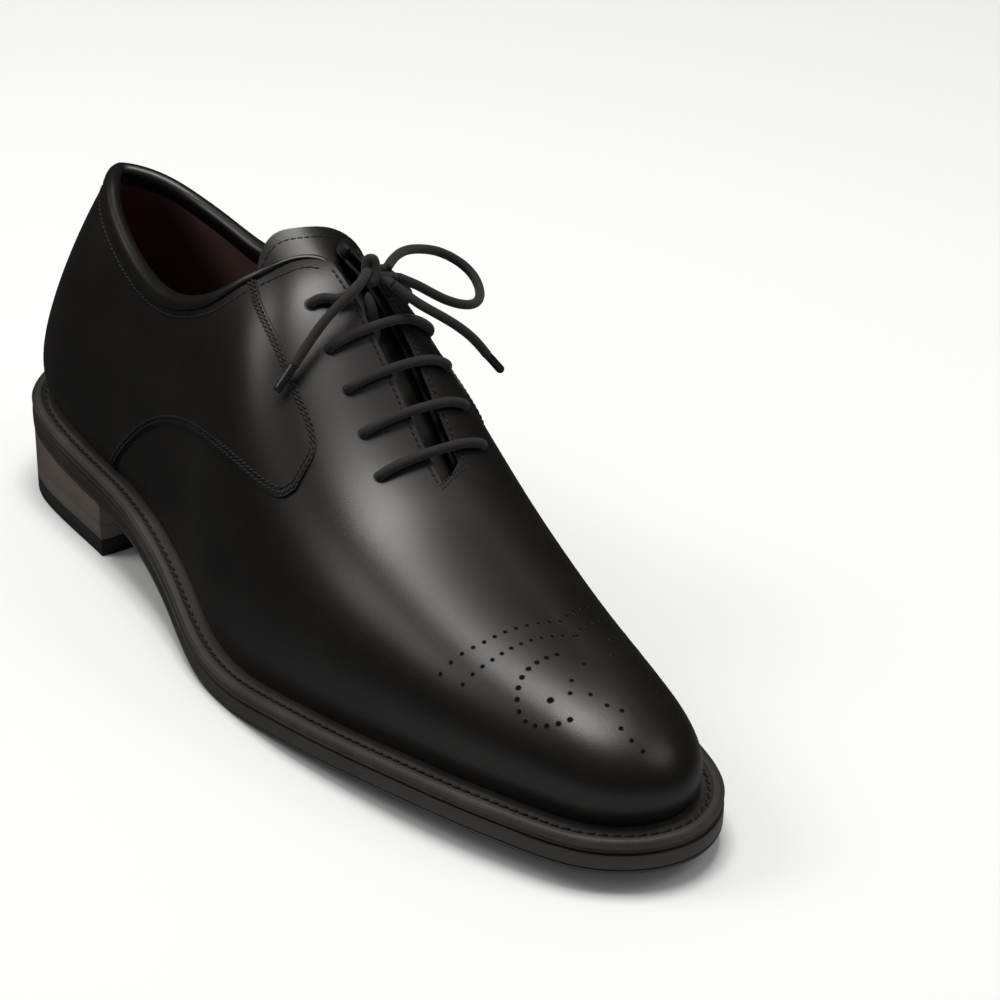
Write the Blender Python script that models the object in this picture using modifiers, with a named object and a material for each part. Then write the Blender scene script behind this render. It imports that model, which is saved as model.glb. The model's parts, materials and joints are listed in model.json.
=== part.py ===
"""Plain-toe leather oxford shoe, right foot, modelled piece by piece.

Frame: +X to the toe, +Y to the inner (medial) side, +Z up, origin on the ground
under the middle of the sole.  Working numbers are millimetres on the shoe's own
layout (x = 0 at the back of the heel seat); build() scales them to metres.
"""
import math

import bmesh
import bpy
import numpy as np
from mathutils import Vector

MM = 0.001
GAP = 0.3                     # clearance between touching pieces

# ---- driving dimensions (mm) -------------------------------------------------
WELT_WIDTH = 7.4              # welt stands out this far from the upper
WELT_THICK = 3.3
SOLE_THICK = 6.0
HEEL_FRONT = 66.0             # breast of the heel, from the back of the seat
TOP_PIECE = 5.5               # rubber top piece
LIFT = 4.5                    # lower heel lift
LEATHER = 1.2                 # outer leather
LINING = 0.7
STIFFENER = 0.8
LAP = 1.9                     # quarter rides this far over the vamp
CORD = 2.8                    # lace diameter
EYELET_HOLE = 3.0             # radius of a lace hole
TONGUE_RISE = 33.0            # tongue runs on above the facings at this angle, degrees
INSOLE_INSET = 4.4

# Outline of the last bottom, heel to toe: outer side, toe tip, inner side back
OUTER_SIDE = [(0, 0), (3.5, -13), (14, -26.2), (32, -30.6), (60, -31.6), (90, -33.6), (118, -37.8),
              (145, -43.6), (168, -44.4), (195, -41.9), (222, -36.7), (248, -29.9), (270, -21.7),
              (285, -13.2)]
TOE_TIP = (293.2, 7.8)
INNER_SIDE = [(285, 19.8), (270, 25.6), (248, 29.6), (222, 34), (195, 37.8), (168, 39.2), (145, 37.6),
              (118, 34.6), (90, 32), (60, 29.4), (32, 28.4), (14, 23.2), (3.5, 11.4)]
# Height of that edge above the ground, along x
SEAT_LINE = [(-10, 35.8), (0, 34.6), (30, 30), (60, 27.6), (85, 26), (110, 20), (135, 12.6),
             (160, 9.7), (180, 11.7), (210, 14.2), (240, 16), (270, 16.2), (300, 15.9)]
# Spine over the instep: x, y, z
SPINE = [(22, .8, 111), (40, 2.2, 112.3), (70, 5, 114), (95, 8, 114.6), (112, 10.3, 113.6),
         (130, 12.2, 109.6), (150, 12.3, 95.6), (170, 10.4, 79), (190, 7.7, 66.3), (210, 5.8, 58.5),
         (230, 4.7, 52.8), (250, 4.4, 48.2), (270, 4.9, 44), (294, 5.8, 39)]
SPINE_BACK, SPINE_FRONT = 22.0, 250.0
# Wall profile stations: x, then how far out and how high its control points lie
OUTER_WALL = [(0, 1.28, .16, .99, .38, .46), (30, 1.23, .16, .97, .44, .54), (60, 1.16, .17, .93, .50, .61),
              (90, 1.11, .19, .92, .56, .66), (115, 1.08, .22, .93, .64, .68), (140, 1.09, .25, .95, .72, .68),
              (165, 1.09, .29, .98, .81, .66), (190, 1.10, .32, 1.01, .88, .63),
              (220, 1.11, .37, 1.04, .95, .60), (250, 1.14, .42, 1.06, 1.01, .57),
              (289, 1.17, .49, 1.08, 1.06, .54)]
INNER_WALL = [(0, 1.16, .16, .91, .41, .58), (30, 1.12, .16, .90, .46, .62), (60, 1.09, .17, .88, .51, .66),
              (90, 1.07, .19, .88, .56, .69), (115, 1.05, .22, .90, .64, .71), (140, 1.04, .25, .93, .71, .73),
              (165, 1.04, .29, .96, .80, .73), (190, 1.04, .32, .97, .87, .68),
              (220, 1.03, .37, .94, .94, .58), (250, 1.05, .42, .91, 1.0, .48),
              (289, 1.13, .49, .91, 1.05, .41)]

# ---- pattern lines: (way round 0 heel .. 1 toe, height up the wall 0 .. 1) -----
TOPLINE_OUTER = [(0, .797), (.05, .80), (.089, .791), (.116, .761), (.159, .709), (.217, .648), (.266, .617),
                 (.312, .621), (.341, .645), (.379, .708), (.402, .783), (.42, .85), (.43, .903), (.444, .945),
                 (.462, .966)]
TOPLINE_INNER = [(0, .797), (.03, .785), (.063, .765), (.135, .695), (.199, .641), (.24, .61), (.29, .605),
                 (.335, .635), (.375, .70), (.402, .77), (.42, .835), (.43, .88), (.444, .92), (.462, .945)]
QUARTER_FRONT = [.408, (.433, .775), (.485, .757), (.526, .746), (.562, .73), (.574, .70)]
QUARTER_LOWER = [(.243, 0), (.274, .151), (.294, .224), (.321, .297), (.356, .356), (.404, .403), (.451, .441),
                 (.49, .477), (.521, .503), (.548, .527), (.565, .556), (.574, .60)]
QUARTER_FRONT_INNER = [.408, (.433, .70), (.485, .655), (.526, .64), (.562, .625), (.574, .59)]
QUARTER_LOWER_INNER = [(.243, 0), (.274, .151), (.294, .224), (.321, .297), (.356, .356), (.404, .40),
                       (.451, .428), (.49, .45), (.521, .465), (.548, .485), (.565, .505), (.574, .54)]
VAMP_WING = ((.215, 0), (.381, .71))          # vamp's hidden rear edge, feather to topline
GAP_EDGE = (.966, .945)                       # facing edges, outer and inner
THROAT = .690                                 # foot of the lace opening
EYELETS_OUTER = [(.485, .871), (.526, .861), (.562, .857), (.598, .841), (.635, .822)]
TONGUE_TOP = [(.74, .3), (.78, .6), (.81, 5), (.84, 9), (.87, 12.5), (.90, 15.5), (.93, 18), (.96, 19.6),
              (1.0, 20.5)]                    # how far the tongue runs on, by height up the wall
FACING_WIDTH = 13.5                           # inner lace holes lie this far from the spine


# ---- curves and the shoe's outer surface ---------------------------------------
def spline(knots, values, closed=False):
    """Smooth cubic through values at knots; returns a function."""
    k = np.asarray(knots, float)
    v = np.asarray(values, float)
    v = v[:, None] if v.ndim == 1 else v
    n = len(k)
    h = np.diff(k)
    m = n - 1 if closed else n
    a = np.zeros((m, m))
    r = np.zeros((m, v.shape[1]))
    for i in range(m):
        if not closed and i in (0, n - 1):
            a[i, i] = 1
            continue
        before, after = h[i - 1], h[i]
        a[i, i - 1] += before
        a[i, i] += 2 * (before + after)
        a[i, (i + 1) % m] += after
        last = v[m - 1] if closed and i == 0 else v[i - 1]
        r[i] = 6 * ((v[i + 1] - v[i]) / after - (v[i] - last) / before)
    bend = np.linalg.solve(a, r)
    if closed:
        bend = np.vstack([bend, bend[:1]])

    def curve(x):
        x = np.atleast_1d(np.asarray(x, float))
        if closed:
            x = k[0] + np.mod(x - k[0], k[-1] - k[0])
        i = np.clip(np.searchsorted(k, x, side="right") - 1, 0, n - 2)
        width = (k[i + 1] - k[i])[:, None]
        p = (k[i + 1] - x)[:, None] / width
        q = (x - k[i])[:, None] / width
        return p * v[i] + q * v[i + 1] + ((p**3 - p) * bend[i] + (q**3 - q) * bend[i + 1]) * width**2 / 6
    return curve


def make_outline():
    """Feather outline by way round: 0 heel, 1 toe along the outer side, 2 heel again."""
    pts = np.array(OUTER_SIDE + [TOE_TIP] + INNER_SIDE + [OUTER_SIDE[0]], float)
    run = np.r_[0, np.cumsum(np.hypot(*np.diff(pts, axis=0).T))]
    curve = spline(run, pts, closed=True)
    steps = np.linspace(0, run[-1], 2001)
    length = np.r_[0, np.cumsum(np.hypot(*np.diff(curve(steps), axis=0).T))]
    toe = np.interp(run[len(OUTER_SIDE)], steps, length)

    def outline(s):
        s = np.mod(np.atleast_1d(np.asarray(s, float)), 2.0)
        way = np.where(s <= 1, s * toe, toe + (s - 1) * (length[-1] - toe))
        return curve(np.interp(way, length, steps))
    return outline


OUTLINE = make_outline()
SEAT = spline(*zip(*SEAT_LINE))
SPINE_AT = spline([p[0] for p in SPINE], [p[1:] for p in SPINE])
WALL_OUT = spline([p[0] for p in OUTER_WALL], [p[1:] for p in OUTER_WALL])
WALL_IN = spline([p[0] for p in INNER_WALL], [p[1:] for p in INNER_WALL])


def seat_height(x):
    return SEAT(x)[:, 0]


def skin(s, u):
    """Point on the shoe's outer surface at way round s and height u."""
    s = np.mod(np.asarray(s, float), 2.0).ravel()
    u = np.asarray(u, float).ravel()
    foot = OUTLINE(s)
    z_foot = seat_height(foot[:, 0])
    x_top = SPINE_BACK + (SPINE_FRONT - SPINE_BACK) * np.clip(foot[:, 0] / TOE_TIP[0], 0, 1)
    y_top = SPINE_AT(x_top)[:, 0]
    inner = 0.5 * (1 - np.clip(np.sin(math.pi * s) * 3, -1, 1))
    inner = (inner * inner * (3 - 2 * inner))[:, None]
    b1, v1, b2, v2, h3 = (WALL_OUT(foot[:, 0]) * (1 - inner) + WALL_IN(foot[:, 0]) * inner).T
    weights = [(1 - u)**4, 4 * u * (1 - u)**3, 6 * u**2 * (1 - u)**2, 4 * u**3 * (1 - u), u**4]
    out = weights[0] + weights[1] * b1 + weights[2] * b2 + weights[3] * h3
    up = weights[1] * v1 + weights[2] * v2 + weights[3] + weights[4]
    x = x_top + (foot[:, 0] - x_top) * out
    y = y_top + (foot[:, 1] - y_top) * out
    z = z_foot + (SPINE_AT(x)[:, 1] - z_foot) * up
    return np.c_[x, y, z]


def skin_normal(s, u):
    """Outward unit normal of the outer surface; on the spine the two sides are averaged."""
    s = np.asarray(s, float).ravel()
    u = np.asarray(u, float).ravel()
    low, high = np.clip(u - 2e-3, 0, 1), np.clip(u + 2e-3, 0, 1)
    along = skin(s + 2e-3, u) - skin(s - 2e-3, u)
    rise = skin(s, high) - skin(s, low)
    n = np.cross(along, rise)
    n /= np.linalg.norm(n, axis=1)[:, None] + 1e-12
    top = u > 0.999
    if top.any():
        x = skin(s[top], u[top])[:, 0]
        slope = (SPINE_AT(x + 1)[:, 1] - SPINE_AT(x - 1)[:, 1]) / 2
        n[top] = np.c_[-slope, 0 * slope, 0 * slope + 1] / np.sqrt(1 + slope**2)[:, None]
    return n


def layer(s, u, off):
    """Surface point moved off millimetres outward."""
    return skin(s, u) + skin_normal(s, u) * np.reshape(off, (-1, 1))


def mirror_way(s):
    """Way round on the inner side that has the same x as s on the outer side."""
    if not hasattr(mirror_way, "table"):
        a, b = np.linspace(0, 1, 801), np.linspace(2, 1, 801)
        mirror_way.table = (a, OUTLINE(a)[:, 0], OUTLINE(b)[:, 0], b)
    a, xa, xb, b = mirror_way.table
    return np.interp(np.interp(s, a, np.maximum.accumulate(xa)), np.maximum.accumulate(xb), b)


def along(line, n, power=1.0):
    """n points along a pattern line of (s, u) knots, by its length."""
    p = np.array(line, float)
    run = np.r_[0, np.cumsum(np.hypot(np.diff(p[:, 0]) * 3.3, np.diff(p[:, 1]) * 1.0))]
    return spline(run, p)(np.linspace(0, 1, n)**power * run[-1])


# ---- mesh helpers ---------------------------------------------------------------
def new_object(name, mesh, collection, material):
    obj = bpy.data.objects.new(name, mesh)
    collection.objects.link(obj)
    mesh.materials.append(material)
    return obj


def grid_mesh(name, points, weld=0.02, close=False):
    """Quad grid through points[i][j] (mm, shoe layout); edges that meet are welded."""
    pts = np.asarray(points, float)
    rows, cols = pts.shape[:2]
    bm = bmesh.new()
    verts = [[bm.verts.new(to_world(p)) for p in row] for row in pts]
    last = rows if close else rows - 1
    for i in range(last):
        for j in range(cols - 1):
            a, b = verts[i], verts[(i + 1) % rows]
            bm.faces.new((a[j], b[j], b[j + 1], a[j + 1]))
    bmesh.ops.remove_doubles(bm, verts=bm.verts, dist=weld * MM)
    bmesh.ops.dissolve_degenerate(bm, edges=bm.edges, dist=1e-6)
    mesh = bpy.data.meshes.new(name)
    bm.to_mesh(mesh)
    bm.free()
    return mesh


def solidify(obj, thickness):
    mod = obj.modifiers.new("Thickness", "SOLIDIFY")
    mod.thickness = thickness * MM
    mod.offset = -1.0
    mod.use_even_offset = False
    mod.use_rim = True
    return obj


def closed_mesh(name, rings, cap=True):
    """Loft of equal closed rings, capped at both ends or joined end to end."""
    bm = bmesh.new()
    verts = [[bm.verts.new(to_world(p)) for p in ring] for ring in rings]
    count, n = len(verts), len(verts[0])
    for i in range(count - 1 if cap else count):
        a, b = verts[i], verts[(i + 1) % count]
        for j in range(n):
            k = (j + 1) % n
            bm.faces.new((a[j], b[j], b[k], a[k]))
    if cap:
        bm.faces.new(verts[0])
        bm.faces.new(list(reversed(verts[-1])))
    bmesh.ops.remove_doubles(bm, verts=bm.verts, dist=0.01 * MM)
    bmesh.ops.dissolve_degenerate(bm, edges=bm.edges, dist=1e-6)
    bmesh.ops.recalc_face_normals(bm, faces=bm.faces)
    mesh = bpy.data.meshes.new(name)
    bm.to_mesh(mesh)
    bm.free()
    return mesh


def offset_outline(width, s):
    """Feather outline moved width outward at way round s."""
    ahead, back = OUTLINE(s + 1e-3), OUTLINE(s - 1e-3)
    t = ahead - back
    t /= np.linalg.norm(t, axis=1)[:, None]
    return OUTLINE(s) + np.c_[t[:, 1], -t[:, 0]] * width


def side_lines(width, x_low, x_high, n):
    """Matching outer and inner edge points of the offset outline between two x."""
    dense = offset_outline(width, np.linspace(0, 2, 1601)[:-1])
    first, tip = int(dense[:, 0].argmin()), int(dense[:, 0].argmax())
    loop = np.roll(dense, -first, axis=0)
    tip = (tip - first) % len(loop)
    outer, inner = loop[:tip + 1], np.vstack([loop[tip:], loop[:1]])[::-1]
    low, high = max(x_low, outer[0, 0]), min(x_high, outer[-1, 0])
    turn0 = low <= outer[0, 0] + 1e-6
    turn1 = high >= outer[-1, 0] - 1e-6
    f = np.linspace(0, 1, n)
    if turn0 and turn1:
        f = (1 - np.cos(math.pi * f)) / 2
    elif turn0:
        f = 1 - np.cos(math.pi / 2 * f)
    elif turn1:
        f = np.sin(math.pi / 2 * f)
    x = low + (high - low) * f
    return (np.c_[x, np.interp(x, outer[:, 0], outer[:, 1])], np.c_[x, np.interp(x, inner[:, 0], inner[:, 1])])


def plate(name, width, top, bottom, x_low=-99, x_high=999, n=24, across=4, taper=0.0):
    """Flat-lying piece between two height functions of x, cut to the offset outline."""
    edges = [side_lines(width, x_low, x_high, n), side_lines(width - taper, x_low, x_high, n)]
    rings = []
    for i in range(n):
        ring = []
        for (a, b), height, order in ((edges[0], top, 1), (edges[1], bottom, -1)):
            f = np.linspace(0, 1, across + 1)[::order]
            for t in f:
                p = a[i] * (1 - t) + b[i] * t
                ring.append((p[0], p[1], float(height(np.array([p[0]]))[0])))
        rings.append(ring)
    return closed_mesh(name, rings)


def tube(name, points, diameter, collection, material, n, sides=2):
    """Round cord along a smooth curve through route points."""
    p = np.array(points, float)
    run = np.r_[0, np.cumsum(np.linalg.norm(np.diff(p, axis=0), axis=1))]
    q = spline(run, p)(np.linspace(0, run[-1], n))
    data = bpy.data.curves.new(name, "CURVE")
    data.dimensions = "3D"
    line = data.splines.new("POLY")
    line.points.add(n - 1)
    for point, xyz in zip(line.points, q):
        point.co = (*to_world(xyz), 1.0)
    data.bevel_depth = diameter / 2 * MM
    data.bevel_resolution = sides
    data.use_fill_caps = True
    data.materials.append(material)
    obj = bpy.data.objects.new(name, data)
    collection.objects.link(obj)
    return obj


def frame_shift():
    edge = offset_outline(WELT_WIDTH, np.linspace(0, 2, 1601))
    return (edge.max(axis=0) + edge.min(axis=0)) / 2


SHIFT = frame_shift()


def to_world(p):
    return ((p[0] - SHIFT[0]) * MM, (p[1] - SHIFT[1]) * MM, p[2] * MM)


def material(name, colour, roughness, metallic=0.0):
    mat = bpy.data.materials.new(name)
    mat.use_nodes = True
    shader = mat.node_tree.nodes["Principled BSDF"]
    shader.inputs["Base Color"].default_value = (*colour, 1)
    shader.inputs["Roughness"].default_value = roughness
    shader.inputs["Metallic"].default_value = metallic
    return mat


# ---- bottom: welt, soles, heel, hidden bottom pieces -----------------------------
def welt_bottom(x):
    return seat_height(x) - GAP - WELT_THICK


def sole_bottom(x):
    return np.maximum(welt_bottom(x) - GAP - SOLE_THICK, 0.0)


def add_bottom(coll, mats):
    n = 96
    s = np.linspace(0, 2, n + 1)[:-1]
    inner, outer = offset_outline(-4.0, s), offset_outline(WELT_WIDTH, s)
    rings = []
    for a, b, high_a, high_b in zip(inner, outer, seat_height(inner[:, 0]), seat_height(outer[:, 0])):
        rings.append([(*a, high_a - GAP), (*b, high_b - GAP), (*b, high_b - GAP - WELT_THICK),
                      (*a, high_a - GAP - WELT_THICK)])
    new_object("welt", closed_mesh("welt", rings, cap=False), coll, mats["welt"])
    new_object("outsole", plate("outsole", WELT_WIDTH, lambda x: welt_bottom(x) - 2 * GAP, sole_bottom, n=60,
                                across=4), coll, mats["sole"])
    lower, upper = TOP_PIECE, TOP_PIECE + GAP + LIFT
    flat = lambda h: (lambda x: np.full(len(x), h))
    width = WELT_WIDTH - 0.3
    new_object("heel_top_piece", plate("heel_top_piece", width, flat(lower), flat(0.0),
                                       x_high=HEEL_FRONT, n=16), coll, mats["heel_rubber"])
    new_object("heel_lift_lower", plate("heel_lift_lower", width, flat(upper), flat(lower + GAP),
                                        x_high=HEEL_FRONT, n=16), coll, mats["heel"])
    new_object("heel_lift_upper", plate("heel_lift_upper", width, lambda x: sole_bottom(x) - GAP,
                                        flat(upper + GAP), x_high=HEEL_FRONT, n=16), coll, mats["heel"])
    bed = lambda x: seat_height(x) + 1.2
    under = lambda x: seat_height(x) - 1.6
    new_object("insole", plate("insole", -INSOLE_INSET, bed, under, n=32), coll, mats["insole"])
    new_object("sock_pad", plate("sock_pad", -INSOLE_INSET - 1, lambda x: bed(x) + GAP + 0.9,
                                 lambda x: bed(x) + GAP, x_high=92, n=16), coll, mats["sock"])
    new_object("cork_filler", plate("cork_filler", -INSOLE_INSET, lambda x: under(x) - GAP, welt_bottom,
                                    x_low=124, x_high=278, n=16), coll, mats["cork"])
    rings = []
    for x in np.linspace(34, 118, 13):
        h = float(under(np.array([x]))[0]) - GAP
        y = 1.0 * (x - 34) / 84
        rings.append([(x, y - 7, h), (x, y + 7, h), (x, y + 7, h - 1.2), (x, y - 7, h - 1.2)])
    new_object("shank", closed_mesh("shank", rings), coll, mats["steel"])


# ---- upper -----------------------------------------------------------------------
def columns(pairs_low, pairs_high, n_rows):
    """Ruled pattern columns between matching low and high (s, u) points."""
    low, high = np.array(pairs_low, float), np.array(pairs_high, float)
    t = np.linspace(0, 1, n_rows)[None, :, None]
    return low[:, None] * (1 - t) + high[:, None] * t


def shell(name, grid, off, thick, coll, mat, weld=0.02, close=False):
    """Leather piece over a pattern grid, off outward, thick inward."""
    flat = grid.reshape(-1, 2)
    offs = off(flat) if callable(off) else np.full(len(flat), off)
    pts = layer(flat[:, 0], flat[:, 1], offs)
    pts[:, 2] = np.maximum(pts[:, 2], seat_height(OUTLINE(flat[:, 0])[:, 0]) + 0.1)
    pts = pts.reshape(*grid.shape[:2], 3)
    mesh = grid_mesh(name, pts, weld, close)
    return solidify(new_object(name, mesh, coll, mat), thick)


def lap_rise(flat):
    """Quarter lifts where the vamp wing lies under it."""
    s = np.where(flat[:, 0] > 1, 2 - flat[:, 0], flat[:, 0])
    (s0, _), (s1, u1) = VAMP_WING
    edge = s0 + (s1 - s0) * flat[:, 1] / u1
    t = np.clip(((s - edge) * 330 + 18) / 10, 0, 1)
    return LAP * t * t * (3 - 2 * t)


def quarter_grid(topline, inner):
    front, lower = ((QUARTER_FRONT_INNER, QUARTER_LOWER_INNER) if inner else (QUARTER_FRONT, QUARTER_LOWER))
    edge = along(topline, 90)
    corner = (front[0], float(np.interp(front[0], edge[:, 0], edge[:, 1])))
    top = [p for p in along([q for q in topline if q[0] < .405] + [corner], 15)]
    top += [p for p in along([corner] + front[1:], 8)[1:]]
    low = [(s, 0.0) for s in np.linspace(0, lower[0][0], 9)]
    low += [p for p in along(lower, 14)[1:]]
    g = columns(low, top, 9)
    start = .0015 + .0045 * np.linspace(0, 1, g.shape[1])**2      # clear of the back seam
    g[:, :, 0] += start * (1 - np.linspace(0, 1, len(g)))[:, None]**4
    if inner:
        g = flip(g)
    return g


def flip(g):
    """Same pattern on the inner side, columns reversed to keep the outside out."""
    g = g.copy()
    g[:, :, 0] = 2 - g[:, :, 0]
    return g[::-1]


def vamp_half(topline, gap, n_front=15):
    """Low and high points of the vamp's columns on one side, rear edge to toe."""
    (s0, u0), (s1, u1) = VAMP_WING
    front = [p for p in topline if p[0] > s1]
    top = list(along([(s1, u1)] + front, 6))
    top += [(s, gap) for s in np.linspace(topline[-1][0], THROAT, 10)[1:]]
    low_s = np.linspace(s0, THROAT, len(top))
    toe = 1 - (1 - THROAT - .006) * (1 - np.linspace(0, 1, n_front))**1.15
    low = [(s, 0.0) for s in low_s] + [(s, 0.0) for s in toe]
    top += [(s, 1.0) for s in toe]
    return low, top


def two_sided(half_outer, half_inner, rows):
    """Columns for both sides; toe columns share their spine points."""
    outer = columns(*half_outer, rows)
    inner = columns(*half_inner, rows)
    n_toe = int(np.sum(outer[:, -1, 1] > .9999))
    twin = inner.copy()
    twin[:-n_toe, :, 0] = 2 - twin[:-n_toe, :, 0]
    twin[-n_toe:, :, 0] = mirror_way(twin[-n_toe:, 0, 0])[:, None]
    return outer, twin[::-1]


def joined_shell(name, outer, inner, off, thick, coll, mat):
    grid = np.concatenate([outer, inner[1:]])
    obj = shell(name, grid, off, thick, coll, mat, weld=0.02)
    bm = bmesh.new()
    bm.from_mesh(obj.data)
    edge = [v for v in bm.verts if v.is_boundary]
    bmesh.ops.remove_doubles(bm, verts=edge, dist=0.5 * MM)
    bm.to_mesh(obj.data)
    bm.free()
    return obj


def cut_holes(obj, cutters):
    for cutter in cutters:
        mod = obj.modifiers.new("Lace hole", "BOOLEAN")
        mod.operation = "DIFFERENCE"
        mod.solver = "EXACT"
        mod.object = cutter


def over_plan(x, y):
    """Pattern point whose skin lies over plan point (x, y), stepped to by Newton."""
    s = .5 + (x - 139) / 330
    s, u = (s if y < SPINE_AT(x)[0, 0] else 2 - s), .85
    for _ in range(16):
        p = skin([s, s + 1e-4, s], [u, u, u - 1e-4])[:, :2]
        step = np.linalg.solve(np.array([p[1] - p[0], p[0] - p[2]]).T / 1e-4, (x - p[0, 0], y - p[0, 1]))
        s, u = s + float(np.clip(step[0], -.02, .02)), min(u + float(np.clip(step[1], -.1, .1)), 1.0)
    return s, u


def eyelet_points():
    """Pattern points of the lace holes; inner ones straight across from the outer ones."""
    pts = list(EYELETS_OUTER)
    for s, u in EYELETS_OUTER:
        x = float(skin([s], [u])[0, 0])
        pts.append(over_plan(x, float(SPINE_AT(x)[0, 0]) + FACING_WIDTH))
    return np.array(pts)


def ring_mesh(name, centre, axis, r_in, r_out, height, sides=12):
    """Flat washer turned about its own axis."""
    axis = axis / np.linalg.norm(axis)
    a = np.cross(axis, (1.0, 0, 0))
    a /= np.linalg.norm(a)
    b = np.cross(axis, a)
    rings = []
    for k in range(sides):
        t = 2 * math.pi * k / sides
        d = a * math.cos(t) + b * math.sin(t)
        rings.append([centre + d * r_in, centre + d * r_out, centre + d * r_out + axis * height,
                      centre + d * r_in + axis * height])
    return closed_mesh(name, rings, cap=False)


def add_upper(coll, cut, mats):
    steps_outer = vamp_half(TOPLINE_OUTER, GAP_EDGE[0])
    steps_inner = vamp_half(TOPLINE_INNER, GAP_EDGE[1])
    outer, inner = two_sided(steps_outer, steps_inner, 10)
    vamp = joined_shell("vamp", outer, inner, 0.0, LEATHER, coll, mats["calf"])

    o2, i2 = two_sided(steps_outer, steps_inner, 10)
    o2, i2 = o2[2:], i2[:-2]
    lining = joined_shell("vamp_lining", o2, i2, -3.3, LINING, coll, mats["lining"])

    for side, topline in (("outer", TOPLINE_OUTER), ("inner", TOPLINE_INNER)):
        g = quarter_grid(topline, side == "inner")
        shell("quarter_" + side, g, lap_rise, LEATHER, coll, mats["calf"])
    add_heel_lining(coll, mats, (o2[0], i2[-1]))
    s = np.linspace(.80, 1.20, 17)
    g = np.stack([np.stack([s, np.full(17, u)], -1) for u in np.linspace(.02, .62, 7)], 1)
    shell("toe_puff", g, -1.9, STIFFENER, coll, mats["stiffener"])
    s = np.linspace(-.19, .19, 19)
    top = .60 - .25 * np.abs(s / .19)**2.5
    g = np.stack([np.stack([s, .02 + (top - .02) * t], -1) for t in np.linspace(0, 1, 6)], 1)
    shell("heel_counter", g, -1.95, STIFFENER, coll, mats["stiffener"])
    s = np.linspace(-.016, .016, 4)
    g = np.stack([np.stack([s, np.full(4, u)], -1) for u in np.linspace(.03, .775, 12)], 1)
    shell("back_strip", g, 1.4, 1.0, coll, mats["calf"])

    tools = []
    for k, (s0, u0) in enumerate(eyelet_points()):
        centre, normal = skin([s0], [u0])[0], skin_normal([s0], [u0])[0]
        side = "outer" if k < 5 else "inner"
        number = k % 5 + 1
        name = f"eyelet_{side}_{number}"
        new_object(name, ring_mesh(name, centre - normal * 3.0, normal, 2.8, 3.8, 0.7), coll, mats["brass"])
        bm = bmesh.new()
        bmesh.ops.create_cone(bm, cap_ends=True, segments=12, radius1=EYELET_HOLE * MM,
                              radius2=EYELET_HOLE * MM, depth=16 * MM)
        mesh = bpy.data.meshes.new("hole_tool")
        bm.to_mesh(mesh)
        bm.free()
        tool = bpy.data.objects.new(f"hole_tool_{k}", mesh)
        tool.location = to_world(centre)
        tool.rotation_mode = "QUATERNION"
        tool.rotation_quaternion = facing(normal)
        tool.hide_render = True
        tool.display_type = "WIRE"
        cut.objects.link(tool)
        tools.append(tool)
    cut_holes(vamp, tools)
    cut_holes(lining, tools)
    add_binding(coll, mats)
    add_tongue(coll, mats)


def facing(normal):
    return Vector(normal).to_track_quat("Z", "Y")


def add_heel_lining(coll, mats, rear):
    """One-piece lining of the heel part, butting on the vamp lining."""
    a, b = rear[0], rear[1]
    rows = len(a)
    gap = .0035
    n = 13
    left, right = [], []
    tl_o, tl_i = along(TOPLINE_OUTER, 90), along(TOPLINE_INNER, 90)
    for t in np.linspace(0, 1, n):
        s_low, s_top = (a[0, 0] - gap) * t, (a[-1, 0] - gap) * t
        left.append(((s_low, 0.0), (s_top, float(np.interp(s_top, tl_o[:, 0], tl_o[:, 1])) - .006)))
        s_low, s_top = (2 - b[0, 0] - gap) * t, (2 - b[-1, 0] - gap) * t
        right.append(((-s_low, 0.0), (-s_top, float(np.interp(s_top, tl_i[:, 0], tl_i[:, 1])) - .006)))
    both = right[:0:-1] + left
    g = columns([p[0] for p in both], [p[1] for p in both], 9)
    shell("quarter_lining", g, -3.3, LINING, coll, mats["lining"])


def topline_route(n):
    """Pattern points along the whole topline, inner facing corner to outer one."""
    a, b = along(TOPLINE_OUTER, n), along(TOPLINE_INNER, n)
    b = b.copy()
    b[:, 0] = -b[:, 0]
    return np.vstack([b[:0:-1], a])


def add_binding(coll, mats):
    """Rolled binding that caps the topline from outside leather to lining."""
    route = topline_route(36)[1:-1]
    rings = []
    rise = 2.6
    for s0, u0 in route:
        p, n = skin([s0], [u0])[0], skin_normal([s0], [u0])[0]
        up = skin([s0], [min(u0 + .01, .999)])[0] - p
        up -= n * (up @ n)
        up /= np.linalg.norm(up)
        out = 1.9 if abs(s0) > .25 else 0.25
        base = p + up * (GAP + .4)
        rings.append([base + n * out, base + n * (out - .3) + up * rise * .7,
                      base + n * (-1.6) + up * rise, base - n * 3.5 + up * rise * .7, base - n * 3.8])
    new_object("topline_binding", closed_mesh("topline_binding", rings), coll, mats["calf"])


def tongue_points(off):
    """Tongue grid: under the facings it follows the instep, above them it runs straight on."""
    rows = np.array([p[0] for p in TONGUE_TOP])
    steps = np.array([1, .75, .5, .25])[:, None] * np.array([p[1] for p in TONGUE_TOP])
    rise = math.radians(TONGUE_RISE)
    run = np.array([-math.cos(rise), 0, math.sin(rise)])
    sides = []
    for topline, reach in ((TOPLINE_OUTER, 1.0), (TOPLINE_INNER, 1.6)):
        up = 1 - (1 - rows) * reach
        line = np.array([p for p in topline if p[0] > .40])
        first = np.interp(up, line[:, 1], line[:, 0]) + .004
        s = first + (.715 - first) * np.linspace(0, 1, 13)[:, None]
        way = s if topline is TOPLINE_OUTER else mirror_way(s)
        pts = layer(way.ravel(), np.tile(up, 13), np.full(s.size, off)).reshape(*s.shape, 3)
        sides.append(np.concatenate([pts[0] + steps[:, :, None] * run, pts]))
    middle = (sides[0][:, -1:] + sides[1][:, -1:]) / 2
    return np.concatenate([sides[0][:, :-1], middle, sides[1][:, -2::-1]], axis=1)


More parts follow.
